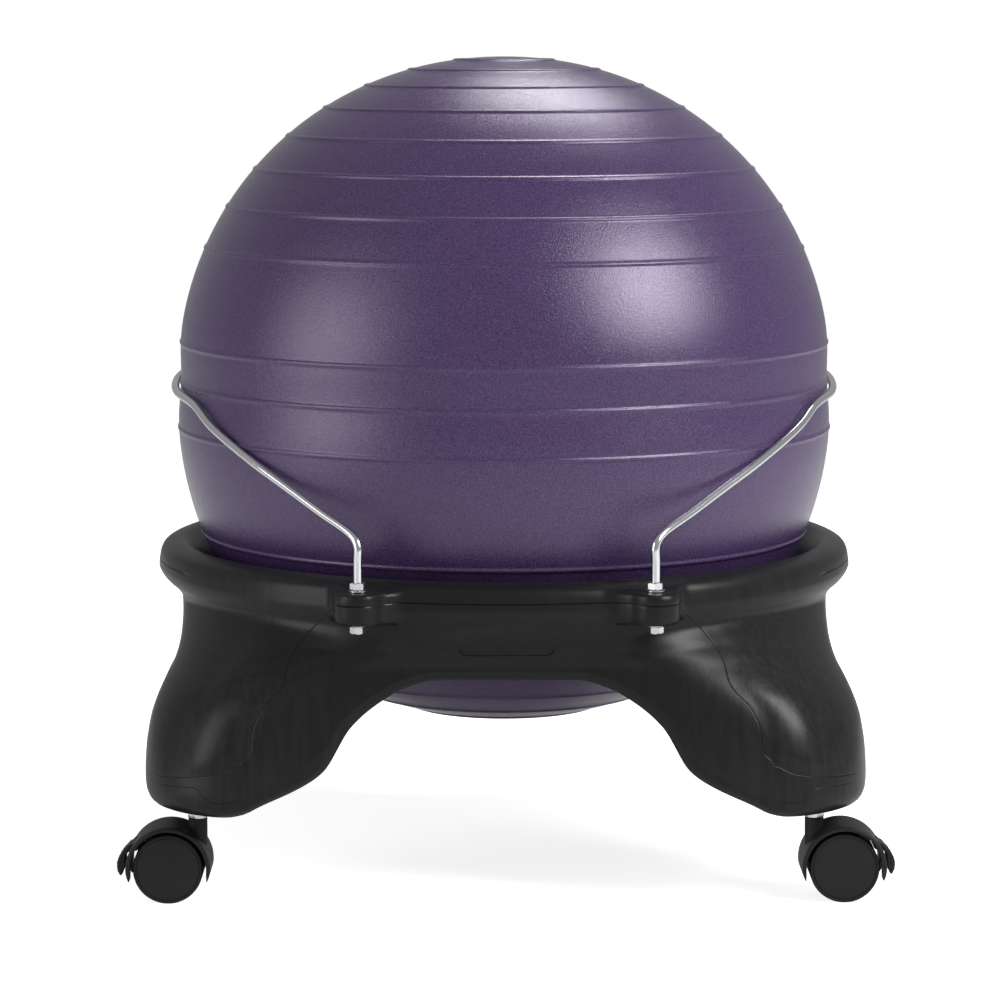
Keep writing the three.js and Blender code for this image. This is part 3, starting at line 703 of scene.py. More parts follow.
def ball_reach(angle):
    power = UPPER_POWER if angle > 0 else LOWER_POWER
    across = abs(math.cos(angle)) / BALL_RADIUS
    up = abs(math.sin(angle)) / BALL_HALF_HEIGHT
    plain = (across ** power + up ** power) ** (-1 / power)
    from_hoop = BALL_CENTRE + plain * math.sin(angle) - HOOP_HEIGHT
    return plain - PINCH_DEPTH * math.exp(-(from_hoop / PINCH_REACH) ** 2)


def rib_angles():
    angles = [*EQUATOR_RIBS, PARTING_RIB]
    for i in range(RIB_COUNT):
        angles += [UPPER_RIB_START + i * RIB_STEP, LOWER_RIB_START - i * RIB_STEP]
    return sorted(math.radians(angle) for angle in angles)


def ball_rows():
    """Elevations of the skin's rows from the valve to the top, close together at each rib."""
    valve = -math.pi / 2 + VALVE_RADIUS / BALL_HALF_HEIGHT
    rows = {valve, math.pi / 2}
    width = RIB_HALF_WIDTH / BALL_RADIUS
    for angle in rib_angles():
        rows |= {angle + share * width for share in RIB_ROW_SHARES}
    rows = sorted(row for row in rows if valve <= row <= math.pi / 2)
    full = []
    for row, following in zip(rows, rows[1:]):
        pieces = max(1, math.ceil((following - row) / math.radians(PLAIN_ROW_STEP)))
        full += [mix(row, following, i / pieces) for i in range(pieces)]
    return full + [rows[-1]]


def rib_rise(away):
    """How much of a rib stands up that many half widths from its middle, from 0 to 1."""
    return (-(away * away * away * away)).exp()


def ball_tree(sizes):
    """Nodes that turn a row of elevations into the ball's skin."""
    group = bpy.data.node_groups.new("ball_skin", "GeometryNodeTree")
    group.interface.new_socket(name="Geometry", in_out="INPUT", socket_type="NodeSocketGeometry")
    settings = {}
    for name, value in sizes.items():
        kind = "Int" if isinstance(value, int) else "Float"
        kind = "Material" if name == "Material" else kind
        socket = group.interface.new_socket(name=name, in_out="INPUT", socket_type=f"NodeSocket{kind}")
        settings[socket.identifier] = value
    group.interface.new_socket(name="Geometry", in_out="OUTPUT", socket_type="NodeSocketGeometry")
    tree = Tree(group)
    source = group.nodes.new("NodeGroupInput")
    given = {socket.name: Value(tree, socket) for socket in source.outputs if socket.name}

    def kept(name, value, geometry):
        """The geometry with a value kept at each of its points."""
        return tree.add("GeometryNodeStoreNamedAttribute", {"data_type": "FLOAT", "domain": "POINT"},
                        geometry, Name=name, Value=value)

    def stored(name):
        return tree.add("GeometryNodeInputNamedAttribute", {"data_type": "FLOAT"}, Name=name)

    separate = tree.add("ShaderNodeSeparateXYZ", None, tree.add("GeometryNodeInputPosition")).socket.node
    x, y = Value(tree, separate.outputs[0]), Value(tree, separate.outputs[1])
    profile = tree.add("GeometryNodeMeshToCurve", None, given["Geometry"])
    profile = kept("depth", y, kept("elevation", x, profile))
    rail = tree.add("GeometryNodeCurvePrimitiveCircle", {"mode": "RADIUS"}, Resolution=given["Columns"])
    rail = kept("heading", tree.add("ShaderNodeMath", {"operation": "ARCTAN2"}, y, x), rail)
    skin = tree.add("GeometryNodeCurveToMesh", None, rail, Profile_Curve=profile)

    angle, depth, turn = stored("elevation"), stored("depth"), stored("heading")
    radius, half_height = given["Radius"], given["Half Height"]
    upper = angle > 0
    power = given["Upper Power"] * upper + given["Lower Power"] * (1 - upper)
    across = angle.cos().abs() / radius
    up = angle.sin().abs() / half_height
    plain = (across ** power + up ** power) ** (-1 / power)
    from_hoop = (given["Centre Height"] + plain * angle.sin() - given["Hoop Height"]) / given["Pinch Reach"]
    reach = plain - given["Pinch Depth"] * (-(from_hoop * from_hoop)).exp()

    rib_width = given["Rib Half Width"]
    step = math.radians(RIB_STEP)
    ribs = 0
    for start, way in ((UPPER_RIB_START, 1), (LOWER_RIB_START, -1)):
        onward = (angle - math.radians(start)) * way + step / 2
        wrapped = tree.add("ShaderNodeMath", {"operation": "FLOORED_MODULO"}, onward, step) - step / 2
        in_run = (onward > 0) * (onward < step * RIB_COUNT)
        ribs = ribs + rib_rise(wrapped * radius / rib_width) * in_run
    for rib in (*EQUATOR_RIBS, PARTING_RIB):
        ribs = ribs + rib_rise((angle - math.radians(rib)) * radius / rib_width)
    outside = depth > -WELD * MM / 2
    reach = reach + ribs * given["Rib Height"] * outside + depth
    level = reach * angle.cos()
    spot = tree.add("ShaderNodeCombineXYZ", None, level * turn.cos(), level * turn.sin() + given["Axis Y"],
                    given["Centre Height"] + reach * angle.sin())
    placed_skin = tree.add("GeometryNodeSetPosition", None, skin, Position=spot)
    welded = tree.add("GeometryNodeMergeByDistance", None, placed_skin, Distance=WELD * MM)
    rounded = tree.add("GeometryNodeSetShadeSmooth", None, welded)
    whole = tree.add("GeometryNodeRealizeInstances", None, rounded)
    finished = tree.add("GeometryNodeSetMaterial", None, whole, Material=given["Material"])
    output = group.nodes.new("NodeGroupOutput")
    group.links.new(finished.socket, output.inputs[0])
    return group, settings


def make_ball(material):
    rows = ball_rows()
    wall = BALL_WALL * MM
    profile = [(row, 0.0, 0.0) for row in reversed(rows)] + [(row, -wall, 0.0) for row in rows]
    mesh = bpy.data.meshes.new("ball_rows")
    mesh.from_pydata(profile, [(i, i + 1) for i in range(len(profile) - 1)], [])
    piece = object_of("inflated_ball", mesh)
    group, settings = ball_tree({
        "Radius": BALL_RADIUS * MM,
        "Half Height": BALL_HALF_HEIGHT * MM,
        "Centre Height": BALL_CENTRE * MM,
        "Upper Power": UPPER_POWER,
        "Lower Power": LOWER_POWER,
        "Hoop Height": HOOP_HEIGHT * MM,
        "Pinch Depth": PINCH_DEPTH * MM,
        "Pinch Reach": PINCH_REACH * MM,
        "Rib Height": RIB_HEIGHT * MM,
        "Rib Half Width": RIB_HALF_WIDTH * MM,
        "Axis Y": AXIS_Y,
        "Columns": BALL_COLUMNS,
        "Material": material,
    })
    skin = piece.modifiers.new("skin", "NODES")
    skin.node_group = group
    for identifier, value in settings.items():
        skin[identifier] = value
    evaluated(piece)
    for name in ("elevation", "depth", "heading"):
        piece.data.attributes.remove(piece.data.attributes[name])
    cleaned(piece.data)
    return piece


# Base

wall_half = curve_through([(height, half) for height, half, _ in WALL_PLACES])
wall_corner = curve_through([(height, corner) for height, _, corner in WALL_PLACES])
side_half = curve_through(SIDE_HALVES)


def on_wall(height):
    return min(max(height, FOOT_BOTTOM), WALL_TOP)


def wall_plan(height):
    """Half-width and corner radius of the base's rounded square at a height."""
    height = on_wall(height)
    half = wall_half(height)
    return half, min(wall_corner(height), half)


def plan_reach(direction, half, corner):
    """Distance from the axis to that rounded square along a direction."""
    across, along = abs(math.cos(direction)), abs(math.sin(direction))
    flat = half - corner
    long, short = max(across, along), min(across, along)
    if half * short <= flat * long:
        return half / long
    middle = flat * (long + short)
    return middle + math.sqrt(max(0.0, corner ** 2 + middle ** 2 - 2 * flat ** 2))


fold_place = curve_through(FOLD_PLACES)


def wall_reach(direction, height):
    """Distance from the axis to the outer wall, drawn in at the sides and with a fold on each leg."""
    half, corner = wall_plan(height)
    drawn_in = side_half(on_wall(height)) / half
    across, along = abs(math.cos(direction)) / drawn_in, abs(math.sin(direction))
    plain = plan_reach(math.atan2(along, across), half, corner) / math.hypot(across, along)
    across, along = plain * abs(math.cos(direction)), plain * abs(math.sin(direction))
    low, high = FOLD_PLACES[0][0], FOLD_PLACES[-1][0]
    beyond = across - fold_place(min(max(height, low), high))
    dip = FOLD_DIP * math.exp(-((beyond - FOLD_DIP_PLACE) / FOLD_DIP_WIDTH) ** 2)
    over_foot = smooth((height - FOLD_FOOT_HEIGHT) / FOLD_FOOT_WIDTH)
    under_lip = smooth((FOLD_TOP_HEIGHT - height) / FOLD_TOP_WIDTH)
    on_face = smooth((along - across) / FOLD_FADE)
    return plain + (FOLD_RISE * smooth(beyond / FOLD_WIDTH) - dip) * over_foot * under_lip * on_face


arch_drop = curve_through(ARCH_SHARES)


def underside_at(x, y):
    """Height of the base's underside: tunnels run through it both ways and leave four feet."""
    share = min(abs(x), abs(y)) / ARCH_REACH
    return mix(APRON_BOTTOM, FOOT_UNDERSIDE, clamp01(arch_drop(min(share, ARCH_SHARES[-1][0]))))


def inner_reach(height):
    return mix(BOWL_EDGE_RADIUS, FOOT_INNER_RADIUS, (BOWL_BOTTOM - height) / (BOWL_BOTTOM - FOOT_BOTTOM))


def boss_stand(direction):
    """How far a boss stands out beyond the lip in a direction, and how much boss there is, 0 to 1."""
    stand, share = 0.0, 0.0
    for side in (-1, 1):
        middle = math.atan2(-BOSS_OUT, side * BOSS_ACROSS)
        away = math.atan2(math.sin(direction - middle), math.cos(direction - middle)) * LIP_RADIUS
        across = max(0.0, 1 - abs(away / BOSS_NOSE_HALF) ** BOSS_NOSE_POWER)
        nose = BOSS_REACH * across ** (1 / BOSS_NOSE_POWER)
        near = 1 - smooth((abs(away) - BOSS_ROOT_START) / BOSS_ROOT_SPAN)
        root = BOSS_REACH * BOSS_ROOT_SHARE * near
        stand = max(stand, (nose ** BOSS_BLEND + root ** BOSS_BLEND) ** (1 / BOSS_BLEND))
        share = max(share, near)
    return stand, share


def smooth_run(points, count):
    """A smooth run of points through a few corner points."""
    points = np.array(points, float)
    result = []
    for step in np.linspace(0, len(points) - 1, count):
        i = min(int(step), len(points) - 2)
        t = step - i
        before, start, end, after = (points[min(max(j, 0), len(points) - 1)] for j in range(i - 1, i + 3))
        bend = (2 * before - 5 * start + 4 * end - after) * t ** 2
        twist = (3 * start - before - 3 * end + after) * t ** 3
        result.append(tuple(HALF * (2 * start + (end - before) * t + bend + twist)))
    return result


def lip_section(direction):
    """The bowl from its lower edge up, over the lip and down the upper wall, with the bosses."""
    seat = []
    for height in np.linspace(BOWL_BOTTOM, SEAT_TOP, SEAT_ROWS):
        seat.append((ball_radius_at(height) + SEAT_CLEARANCE, height))
    gap_at_lip = LIP_INNER_RADIUS - ball_radius_at(LIP_TOP)
    opening = []
    for share in np.linspace(0, 1, OPENING_ROWS + 1)[1:]:
        height = mix(SEAT_TOP, LIP_TOP - LIP_EDGE, share)
        opening.append((ball_radius_at(height) + mix(SEAT_CLEARANCE, gap_at_lip, share), height))
    middle = (LIP_INNER_RADIUS + LIP_RADIUS) / 2
    crest = LIP_CREST_SHARE * (LIP_RADIUS - LIP_INNER_RADIUS) / 2
    over = smooth_run([
        opening[-1],
        (middle - crest, LIP_TOP),
        (middle + crest, LIP_TOP - LIP_CROWN),
        (mix(middle, LIP_RADIUS, SHOULDER_REACH_SHARE), mix(LIP_TOP, LIP_WIDEST_HEIGHT, SHOULDER_DROP_SHARE)),
        (LIP_RADIUS, LIP_WIDEST_HEIGHT),
    ], CREST_ROWS)
    flank = [(wall_reach(direction, height), height)
             for height in np.linspace(WALL_TOP, FLANK_END, FLANK_ROWS)]
    stand, share = boss_stand(direction)
    tip = LIP_RADIUS + stand
    boss_top = [
        (middle + crest + BOSS_ROUND, BOSS_TOP),
        (tip - BOSS_ROUND, BOSS_TOP),
        *[(tip - BOSS_ROUND + BOSS_ROUND * math.sin(a), BOSS_TOP - BOSS_ROUND + BOSS_ROUND * math.cos(a))
          for a in ROUNDING_TURNS],
        (tip, BOSS_TOP - BOSS_ROUND),
    ]
    boss_bottom = [
        (tip, BOSS_BOTTOM + BOSS_ROUND),
        *[(tip - BOSS_ROUND + BOSS_ROUND * math.cos(a), BOSS_BOTTOM + BOSS_ROUND - BOSS_ROUND * math.sin(a))
          for a in ROUNDING_TURNS],
        (tip - BOSS_ROUND, BOSS_BOTTOM),
        (wall_reach(direction, BOSS_BOTTOM), BOSS_BOTTOM),
        *[place for place in flank if place[1] < BOSS_BOTTOM],
    ]
    run = over[len(over) // 2:] + flank[1:]
    start = over[:len(over) // 2]
    shaped = resampled(boss_top + boss_bottom, len(run))
    outer = [(mix(r, boss_r, share), mix(z, boss_z, share))
             for (r, z), (boss_r, boss_z) in zip(resampled(run, len(run)), shaped)]
    return seat + opening[:-1] + start + with_parting_line(outer, direction)


def with_parting_line(run, direction):
    """The downward run with a fine groove let into it at the height of the parting line."""
    from_panel = abs((direction + math.pi / 4) % (math.pi / 2) - math.pi / 4)
    depth = PARTING_DEPTH * (1 - smooth((from_panel - PARTING_END_TURN) / PARTING_FADE_TURN))
    falling = next(i for i, (_, z) in enumerate(run) if z < PARTING_HEIGHT + PARTING_HALF)
    reaches, heights = [r for r, _ in run[falling - 1:]], [z for _, z in run[falling - 1:]]

    def reach_at(height):
        return float(np.interp(-height, [-z for z in heights], reaches))

    middle = reach_at(PARTING_HEIGHT)
    groove = [(reach_at(PARTING_HEIGHT + PARTING_HALF), PARTING_HEIGHT + PARTING_HALF),
              (middle - depth, PARTING_HEIGHT),
              (reach_at(PARTING_HEIGHT - PARTING_HALF), PARTING_HEIGHT - PARTING_HALF)]
    above = [(r, z) for r, z in run[:falling]]
    below = [(r, z) for r, z in run[falling:] if z < PARTING_HEIGHT - PARTING_HALF]
    return resampled(above, PARTING_ABOVE_ROWS) + groove + resampled(below, PARTING_BELOW_ROWS)


def resampled(points, count):
    """The same run of points with even spacing along it."""
    points = np.array(points, float)
    along = np.concatenate([[0], np.cumsum(np.linalg.norm(np.diff(points, axis=0), axis=1))])
    even = np.linspace(0, along[-1], count)
    return list(zip(np.interp(even, along, points[:, 0]), np.interp(even, along, points[:, 1])))


def base_section(direction):
    """The base's section in one direction, as a closed loop of distance and height points."""
    def reach_at(height):
        return wall_reach(direction, height)

    def under(reach):
        return underside_at(reach * math.cos(direction), reach * math.sin(direction))

    def edge_at(reach):
        down_share = (APRON_BOTTOM - under(reach)) / (APRON_BOTTOM - FOOT_BOTTOM)
        return mix(EDGE_RADIUS, FOOT_EDGE_RADIUS, down_share)

    outer_reach, inner_edge = reach_at(FOOT_BOTTOM), FOOT_INNER_RADIUS
    for _ in range(SETTLE_COUNT):
        outer_reach = reach_at(under(outer_reach) + edge_at(outer_reach))
        inner_edge = inner_reach(under(inner_edge) + EDGE_RADIUS)
    outer_edge = edge_at(outer_reach)
    section = []
    for height in np.linspace(FLANK_END, under(outer_reach) + outer_edge, WALL_ROWS + 1)[1:]:
        section.append((reach_at(height), height))
    for a in ROUNDING_TURNS:
        section.append((outer_reach - outer_edge * (1 - math.cos(a)),
                        under(outer_reach) + outer_edge * (1 - math.sin(a))))
    for reach in np.linspace(outer_reach - outer_edge, inner_edge + EDGE_RADIUS, UNDERSIDE_ROWS):
        section.append((reach, under(reach)))
    for a in reversed(ROUNDING_TURNS):
        section.append((inner_edge + EDGE_RADIUS * (1 - math.cos(a)),
                        under(inner_edge) + EDGE_RADIUS * (1 - math.sin(a))))
    for height in np.linspace(under(inner_edge) + EDGE_RADIUS, BOWL_BOTTOM, INNER_ROWS + 1)[:-1]:
        section.append((inner_reach(height), height))
    return section + lip_section(direction)


def base_directions():
    """Directions of the sections, closer together across the bosses."""
    directions = set(np.linspace(-math.pi, math.pi, BASE_COLUMNS, endpoint=False))
    for side in (-1, 1):
        middle = math.atan2(-BOSS_OUT, side * BOSS_ACROSS)
        spread = (BOSS_ROOT_START + BOSS_ROOT_SPAN) / LIP_RADIUS
        directions |= set(np.linspace(middle - spread, middle + spread, BOSS_COLUMNS))
    kept = []
    for direction in sorted(directions):
        if not kept or direction - kept[-1] > LEAST_TURN:
            kept.append(direction)
    return kept


def wall_face(across, height):
    """How far the plain front wall stands out at a place on it."""
    half, corner = wall_plan(height)
    return half - corner + math.sqrt(corner ** 2 - max(0.0, abs(across) - (half - corner)) ** 2)


def recess_cutter():
    """A shape that follows the front wall a little way in and fades out upwards."""
    rings = []
    for height in np.linspace(RECESS_BOTTOM, RECESS_TOP, RECESS_ROWS):
        from_end = min(height - RECESS_BOTTOM, RECESS_TOP - height)
        drawn_in = RECESS_CORNER - math.sqrt(RECESS_CORNER ** 2 - max(0.0, RECESS_CORNER - from_end) ** 2)
        rise = (height - RECESS_BOTTOM) / (RECESS_TOP - RECESS_BOTTOM)
        depth = RECESS_DEPTH * (1 - RECESS_FADE * smooth(rise))
        across = np.linspace(drawn_in - RECESS_HALF, RECESS_HALF - drawn_in, RECESS_COLUMNS)
        inside = [(x, AXIS_DEPTH - wall_face(x, height) + depth, height) for x in across]
        outside = [(x, y - depth - RECESS_STAND, z) for x, y, z in reversed(inside)]
        rings.append(inside + outside)
    return solid("recess", *capped(rings))


def make_base():
    rings = []
    for direction in base_directions():
        across, along = math.cos(direction), math.sin(direction)
        rings.append([(r * across, r * along + AXIS_DEPTH, z) for r, z in base_section(direction)])
    piece = solid("moulded_base", *loft(rings, round_again=True))
    for side in (-1, 1):
        combined(piece, upright_bar(ROD_RADIUS + SEAT_GAP, BOSS_BOTTOM - OVERRUN, BOSS_TOP + OVERRUN,
                                    side * BOSS_ACROSS, -BOSS_OUT + AXIS_DEPTH), "DIFFERENCE")
    combined(piece, recess_cutter(), "DIFFERENCE")
    for _, *corner in CORNERS:
        x, y, _ = foot_place(*corner)
        combined(piece, upright_bar(PAD_RADIUS, FOOT_BOTTOM, FOOT_BOTTOM + EDGE_RADIUS, x, y), "UNION")
        combined(piece, upright_bar(SOCKET_RADIUS + SEAT_GAP, FOOT_BOTTOM - OVERRUN, SOCKET_TOP + SEAT_GAP,
                                    x, y), "DIFFERENCE")
    return shaded(piece)


def foot_place(side_x, side_y):
    """Where the castor's stem stands under one foot."""
    return side_x * CASTOR_X, side_y * CASTOR_Y + AXIS_DEPTH, 0


def upright_bar(radius, bottom, top, x, y):
    vertices, faces = cylinder(radius, bottom, top)
    return solid("bar", moved(vertices, (x, y, 0)), faces)


# Stay rod with its nuts and washers

def centripetal(points, per_span):
    """Points of a smooth curve through the given ones, evenly shared out over their spans."""
    points = [np.array(p, float) for p in points]
    points = [2 * points[0] - points[1]] + points + [2 * points[-1] - points[-2]]
    result = []
    for i in range(1, len(points) - 2):
        p0, p1, p2, p3 = points[i - 1:i + 3]
        t1 = math.sqrt(np.linalg.norm(p1 - p0))
        t2 = t1 + math.sqrt(np.linalg.norm(p2 - p1))
        t3 = t2 + math.sqrt(np.linalg.norm(p3 - p2))
        for t in np.linspace(t1, t2, per_span, endpoint=False):
            a1 = (t1 - t) / t1 * p0 + t / t1 * p1
            a2 = (t2 - t) / (t2 - t1) * p1 + (t - t1) / (t2 - t1) * p2
            a3 = (t3 - t) / (t3 - t2) * p2 + (t - t2) / (t3 - t2) * p3
            b1 = (t2 - t) / t2 * a1 + t / t2 * a2
            b2 = (t3 - t) / (t3 - t1) * a2 + (t - t1) / (t3 - t1) * a3
            result.append((t2 - t) / (t2 - t1) * b1 + (t - t1) / (t2 - t1) * b2)
    return result + [points[-2]]


def hug_radius(height):
    angle = math.asin((height - BALL_CENTRE) / BALL_RADIUS)
    return ball_reach(angle) * math.cos(angle) + RIB_HEIGHT + SEAT_GAP + ROD_RADIUS


def stay_path():
    """The rod's middle line: up from one boss, round the back of the ball and down to the other."""
    touch = math.atan2(-BOSS_OUT, BOSS_ACROSS)
    touch += math.acos(hug_radius(SIDE_TOUCH_HEIGHT) / math.hypot(BOSS_ACROSS, BOSS_OUT))

    def arc_point(share, rise):
        angle = mix(touch, math.pi / 2, share)
        height = mix(SIDE_TOUCH_HEIGHT, HOOP_HEIGHT, rise)
        radius = hug_radius(height)
        return np.array([radius * math.cos(angle), radius * math.sin(angle), height])

    heights = [ROD_END_HEIGHT, BOSS_BOTTOM, BOSS_TOP]
    heights += [mix(BOSS_TOP, BEND_HEIGHT, share) for share in STRAIGHT_SHARES]
    half = [np.array([BOSS_ACROSS, -BOSS_OUT, height]) for height in heights]
    bend = np.array([BOSS_ACROSS, -BOSS_OUT, BEND_HEIGHT])
    half += [mix(bend, arc_point(0, 0), share) for share in LEAN_SHARES]
    rises = [*RISE_SHARES, *[1.0] * (len(ARC_SHARES) - len(RISE_SHARES))]
    half += [arc_point(share, rise) for share, rise in zip(ARC_SHARES, rises)]
    mirrored = [point * (-1, 1, 1) for point in reversed(half[:-1])]
    return [point + (0, AXIS_DEPTH, 0) for point in centripetal(half + mirrored, ROD_STEPS_PER_SPAN)]


def make_stay():
    path = stay_path()
    ends = [path[0], path[-1]]

    def radius_at(point):
        from_end = min((point - Vector(end)).length for end in ends)
        return ROD_RADIUS - ROD_TIP_CHAMFER * max(0.0, 1 - from_end / ROD_TIP_CHAMFER)

    tip = [mix(np.array(path[0]), np.array(path[1]), s) for s in ROD_TIP_SHARES]
    end_tip = [mix(np.array(path[-1]), np.array(path[-2]), s) for s in reversed(ROD_TIP_SHARES)]
    full = tip + path[1:-1] + end_tip
    return shaded(solid("stay_rod", *swept(full, radius_at)), SHARP_ROD_EDGE)


def hexagon_nut(flats, height, bore):
    """A nut with its corners turned off at both ends and a chamfered bore."""
    rings = []
    for angle in full_turn(NUT_SIDES):
        within = (angle % (math.pi / 3)) - math.pi / 6
        reach = flats / 2 / math.cos(within)
        turned_off = (reach - flats / 2) * NUT_CHAMFER_SLOPE
        section = [(bore, NUT_BORE_CHAMFER), (bore + NUT_BORE_CHAMFER, 0), (flats / 2 * NUT_FACE_SHARE, 0),
                   (reach, turned_off + NUT_EDGE), (reach, height - turned_off - NUT_EDGE),
                   (flats / 2 * NUT_FACE_SHARE, height), (bore + NUT_BORE_CHAMFER, height),
                   (bore, height - NUT_BORE_CHAMFER)]
        rings.append(in_direction(section, angle))
    return loft(rings, round_again=True)


def flat_washer(radius, thickness, bore):
    edge = WASHER_EDGE
    return turned([(bore, 0), (radius - edge, 0), (radius, edge), (radius, thickness - edge),
                   (radius - edge, thickness), (bore, thickness)], loop=True)


FASTENERS = {
    "top_washer": BOSS_TOP + SEAT_GAP,
    "top_nut": BOSS_TOP + WASHER_THICKNESS + 2 * SEAT_GAP,
    "bottom_washer": BOSS_BOTTOM - SEAT_GAP - WASHER_THICKNESS,
    "bottom_nut": BOSS_BOTTOM - 2 * SEAT_GAP - WASHER_THICKNESS - NUT_HEIGHT,
}


def make_fasteners(material):
    bore = ROD_RADIUS + BORE_GAP
    for side_name, side in (("left", -1), ("right", 1)):
        for kind, height in FASTENERS.items():
            if kind.endswith("nut"):
                vertices, faces = hexagon_nut(NUT_FLATS, NUT_HEIGHT, bore)
            else:
                vertices, faces = flat_washer(WASHER_RADIUS, WASHER_THICKNESS, bore)
            node = f"{side_name}_{kind}"
            turn = Matrix.Rotation(math.radians(NUT_ANGLES.get(node, 0)), 3, "Z")
            place = (side * BOSS_ACROSS, -BOSS_OUT + AXIS_DEPTH, height)
            piece = solid(f"{node}_piece", moved(vertices, place, turn), faces)
            hand_over(shaded(piece, SHARP_FASTENER_EDGE), "root", "plated_fastener", material, node)


# Castors: each piece is made about its axle, with the wheels trailing towards +X

def to_corner(vertices, side_x, side_y):
    """Vertices made about the axle, in their place under one foot."""
    turn = Matrix.Identity(3) if side_x > 0 else Matrix.Rotation(math.pi, 3, "Z")
    place = (side_x * (CASTOR_X + CASTOR_TRAIL), side_y * CASTOR_Y + AXIS_DEPTH, WHEEL_RADIUS)
    return moved(vertices, place, turn)


def along_axle(vertices, way):
    """Turns a piece made about Z so that Z points along the axle, to one side or the other."""
    return moved(vertices, turn=Matrix.Rotation(-way * math.pi / 2, 3, "X"))


def placed(shape, place, across=False):
    """The vertices and faces of a shape moved to a place, and turned to lie along the axle if across."""
    vertices, faces = shape
    return moved(along_axle(vertices, 1) if across else vertices, place), faces


def corner_piece(shape, corner, name="tool"):
    """A piece in its place under one foot, from a shape made about the axle."""
    vertices, faces = shape
    return solid(name, to_corner(vertices, *corner), faces)


def arc(radius, start, end, count):
    return [(radius * math.cos(a), radius * math.sin(a)) for a in np.linspace(start, end, count)]


def plate(outline, thickness, edge=0.0):
    """A side outline of X and Z points, thick along Y, with its edges turned off by a small bevel."""
    half = thickness / 2
    levels = [(-half, 0), (half, 0)]
    if edge:
        levels = [(-half, edge), (edge - half, 0), (half - edge, 0), (half, edge)]
    outline = np.array(outline, float)
    inward = inward_normals(outline)
    rings = [[(x, y, z) for x, z in outline + inward * inset] for y, inset in levels]
    return capped(rings)


def inward_normals(outline):
    ahead = np.roll(outline, -1, axis=0) - outline
    behind = outline - np.roll(outline, 1, axis=0)
    ahead /= np.linalg.norm(ahead, axis=1)[:, None]
    behind /= np.linalg.norm(behind, axis=1)[:, None]
    along = ahead + behind
    along /= np.linalg.norm(along, axis=1)[:, None]
    area = np.sum(outline[:, 0] * np.roll(outline[:, 1], -1) - outline[:, 1] * np.roll(outline[:, 0], -1))
    return np.stack([-along[:, 1], along[:, 0]], axis=1) * (1 if area > 0 else -1)


def wheel_shape():
    """Wheel: closed smooth face, rounded tread and a blind bore."""
    bore = AXLE_RADIUS + RUNNING_GAP
    face = WHEEL_WIDTH
    rim = [(WHEEL_RADIUS - WHEEL_RIM + WHEEL_RIM * math.sin(a), face - WHEEL_RIM + WHEEL_RIM * math.cos(a))
           for a in np.linspace(math.pi / 2, 0, ROUND_STEPS)]
    inside = [(WHEEL_RADIUS - INNER_RIM + INNER_RIM * math.cos(a), INNER_RIM - INNER_RIM * math.sin(a))
              for a in np.linspace(math.pi / 2, 0, ROUND_STEPS)]
    groove, dished = FACE_RADIUS, face - FACE_DISH
    return [(0, BORE_DEPTH), (bore, BORE_DEPTH), (bore, 0), *inside, *rim, (groove + FACE_GROOVE, face),
            (groove + FACE_GROOVE / 2, face - FACE_GROOVE), (groove, face - FACE_GROOVE),
            (groove - FACE_GROOVE / 2, dished),
            *[(groove * share, dished + FACE_CROWN * (1 - share * share)) for share in FACE_SHARES]]


def hood_section(turn, low, high):
    """Across the hood at one direction: its outside, rounded at both edges, and its inside."""
    taper = clamp01(min(turn + HOOD_TIP_TURN, math.pi + HOOD_TIP_TURN - turn) / HOOD_TAPER_TURN)
    easing = math.sin(taper * math.pi / 2)
    outer = mix(HOOD_TIP_RADIUS, HOOD_OUTER, easing)
    inner = mix(HOOD_TIP_RADIUS - HOOD_TIP_THICKNESS, HOOD_INNER, easing)
    edge = min(HOOD_EDGE, (outer - inner) * HALF)
    section = [(y, outer) for y in np.linspace(low + edge, high - edge, HOOD_ACROSS)]
    start = [(low + edge - edge * math.cos(a), outer - edge + edge * math.sin(a)) for a in HOOD_EDGE_TURNS]
    end = [(high - edge + edge * math.cos(a), outer - edge + edge * math.sin(a))
           for a in reversed(HOOD_EDGE_TURNS)]
    return [(low, inner), *start, *section, *end, (high, inner)]


def hood_shell(half):
    """The hood's plain shell, from one tip over the top to the other."""
    rings = []
    for turn in np.linspace(-HOOD_TIP_TURN, math.pi + HOOD_TIP_TURN, HOOD_STEPS):
        section = hood_section(turn, -half, half)
        rings.append([(r * math.cos(turn), y, r * math.sin(turn)) for y, r in section])
    return capped(rings)


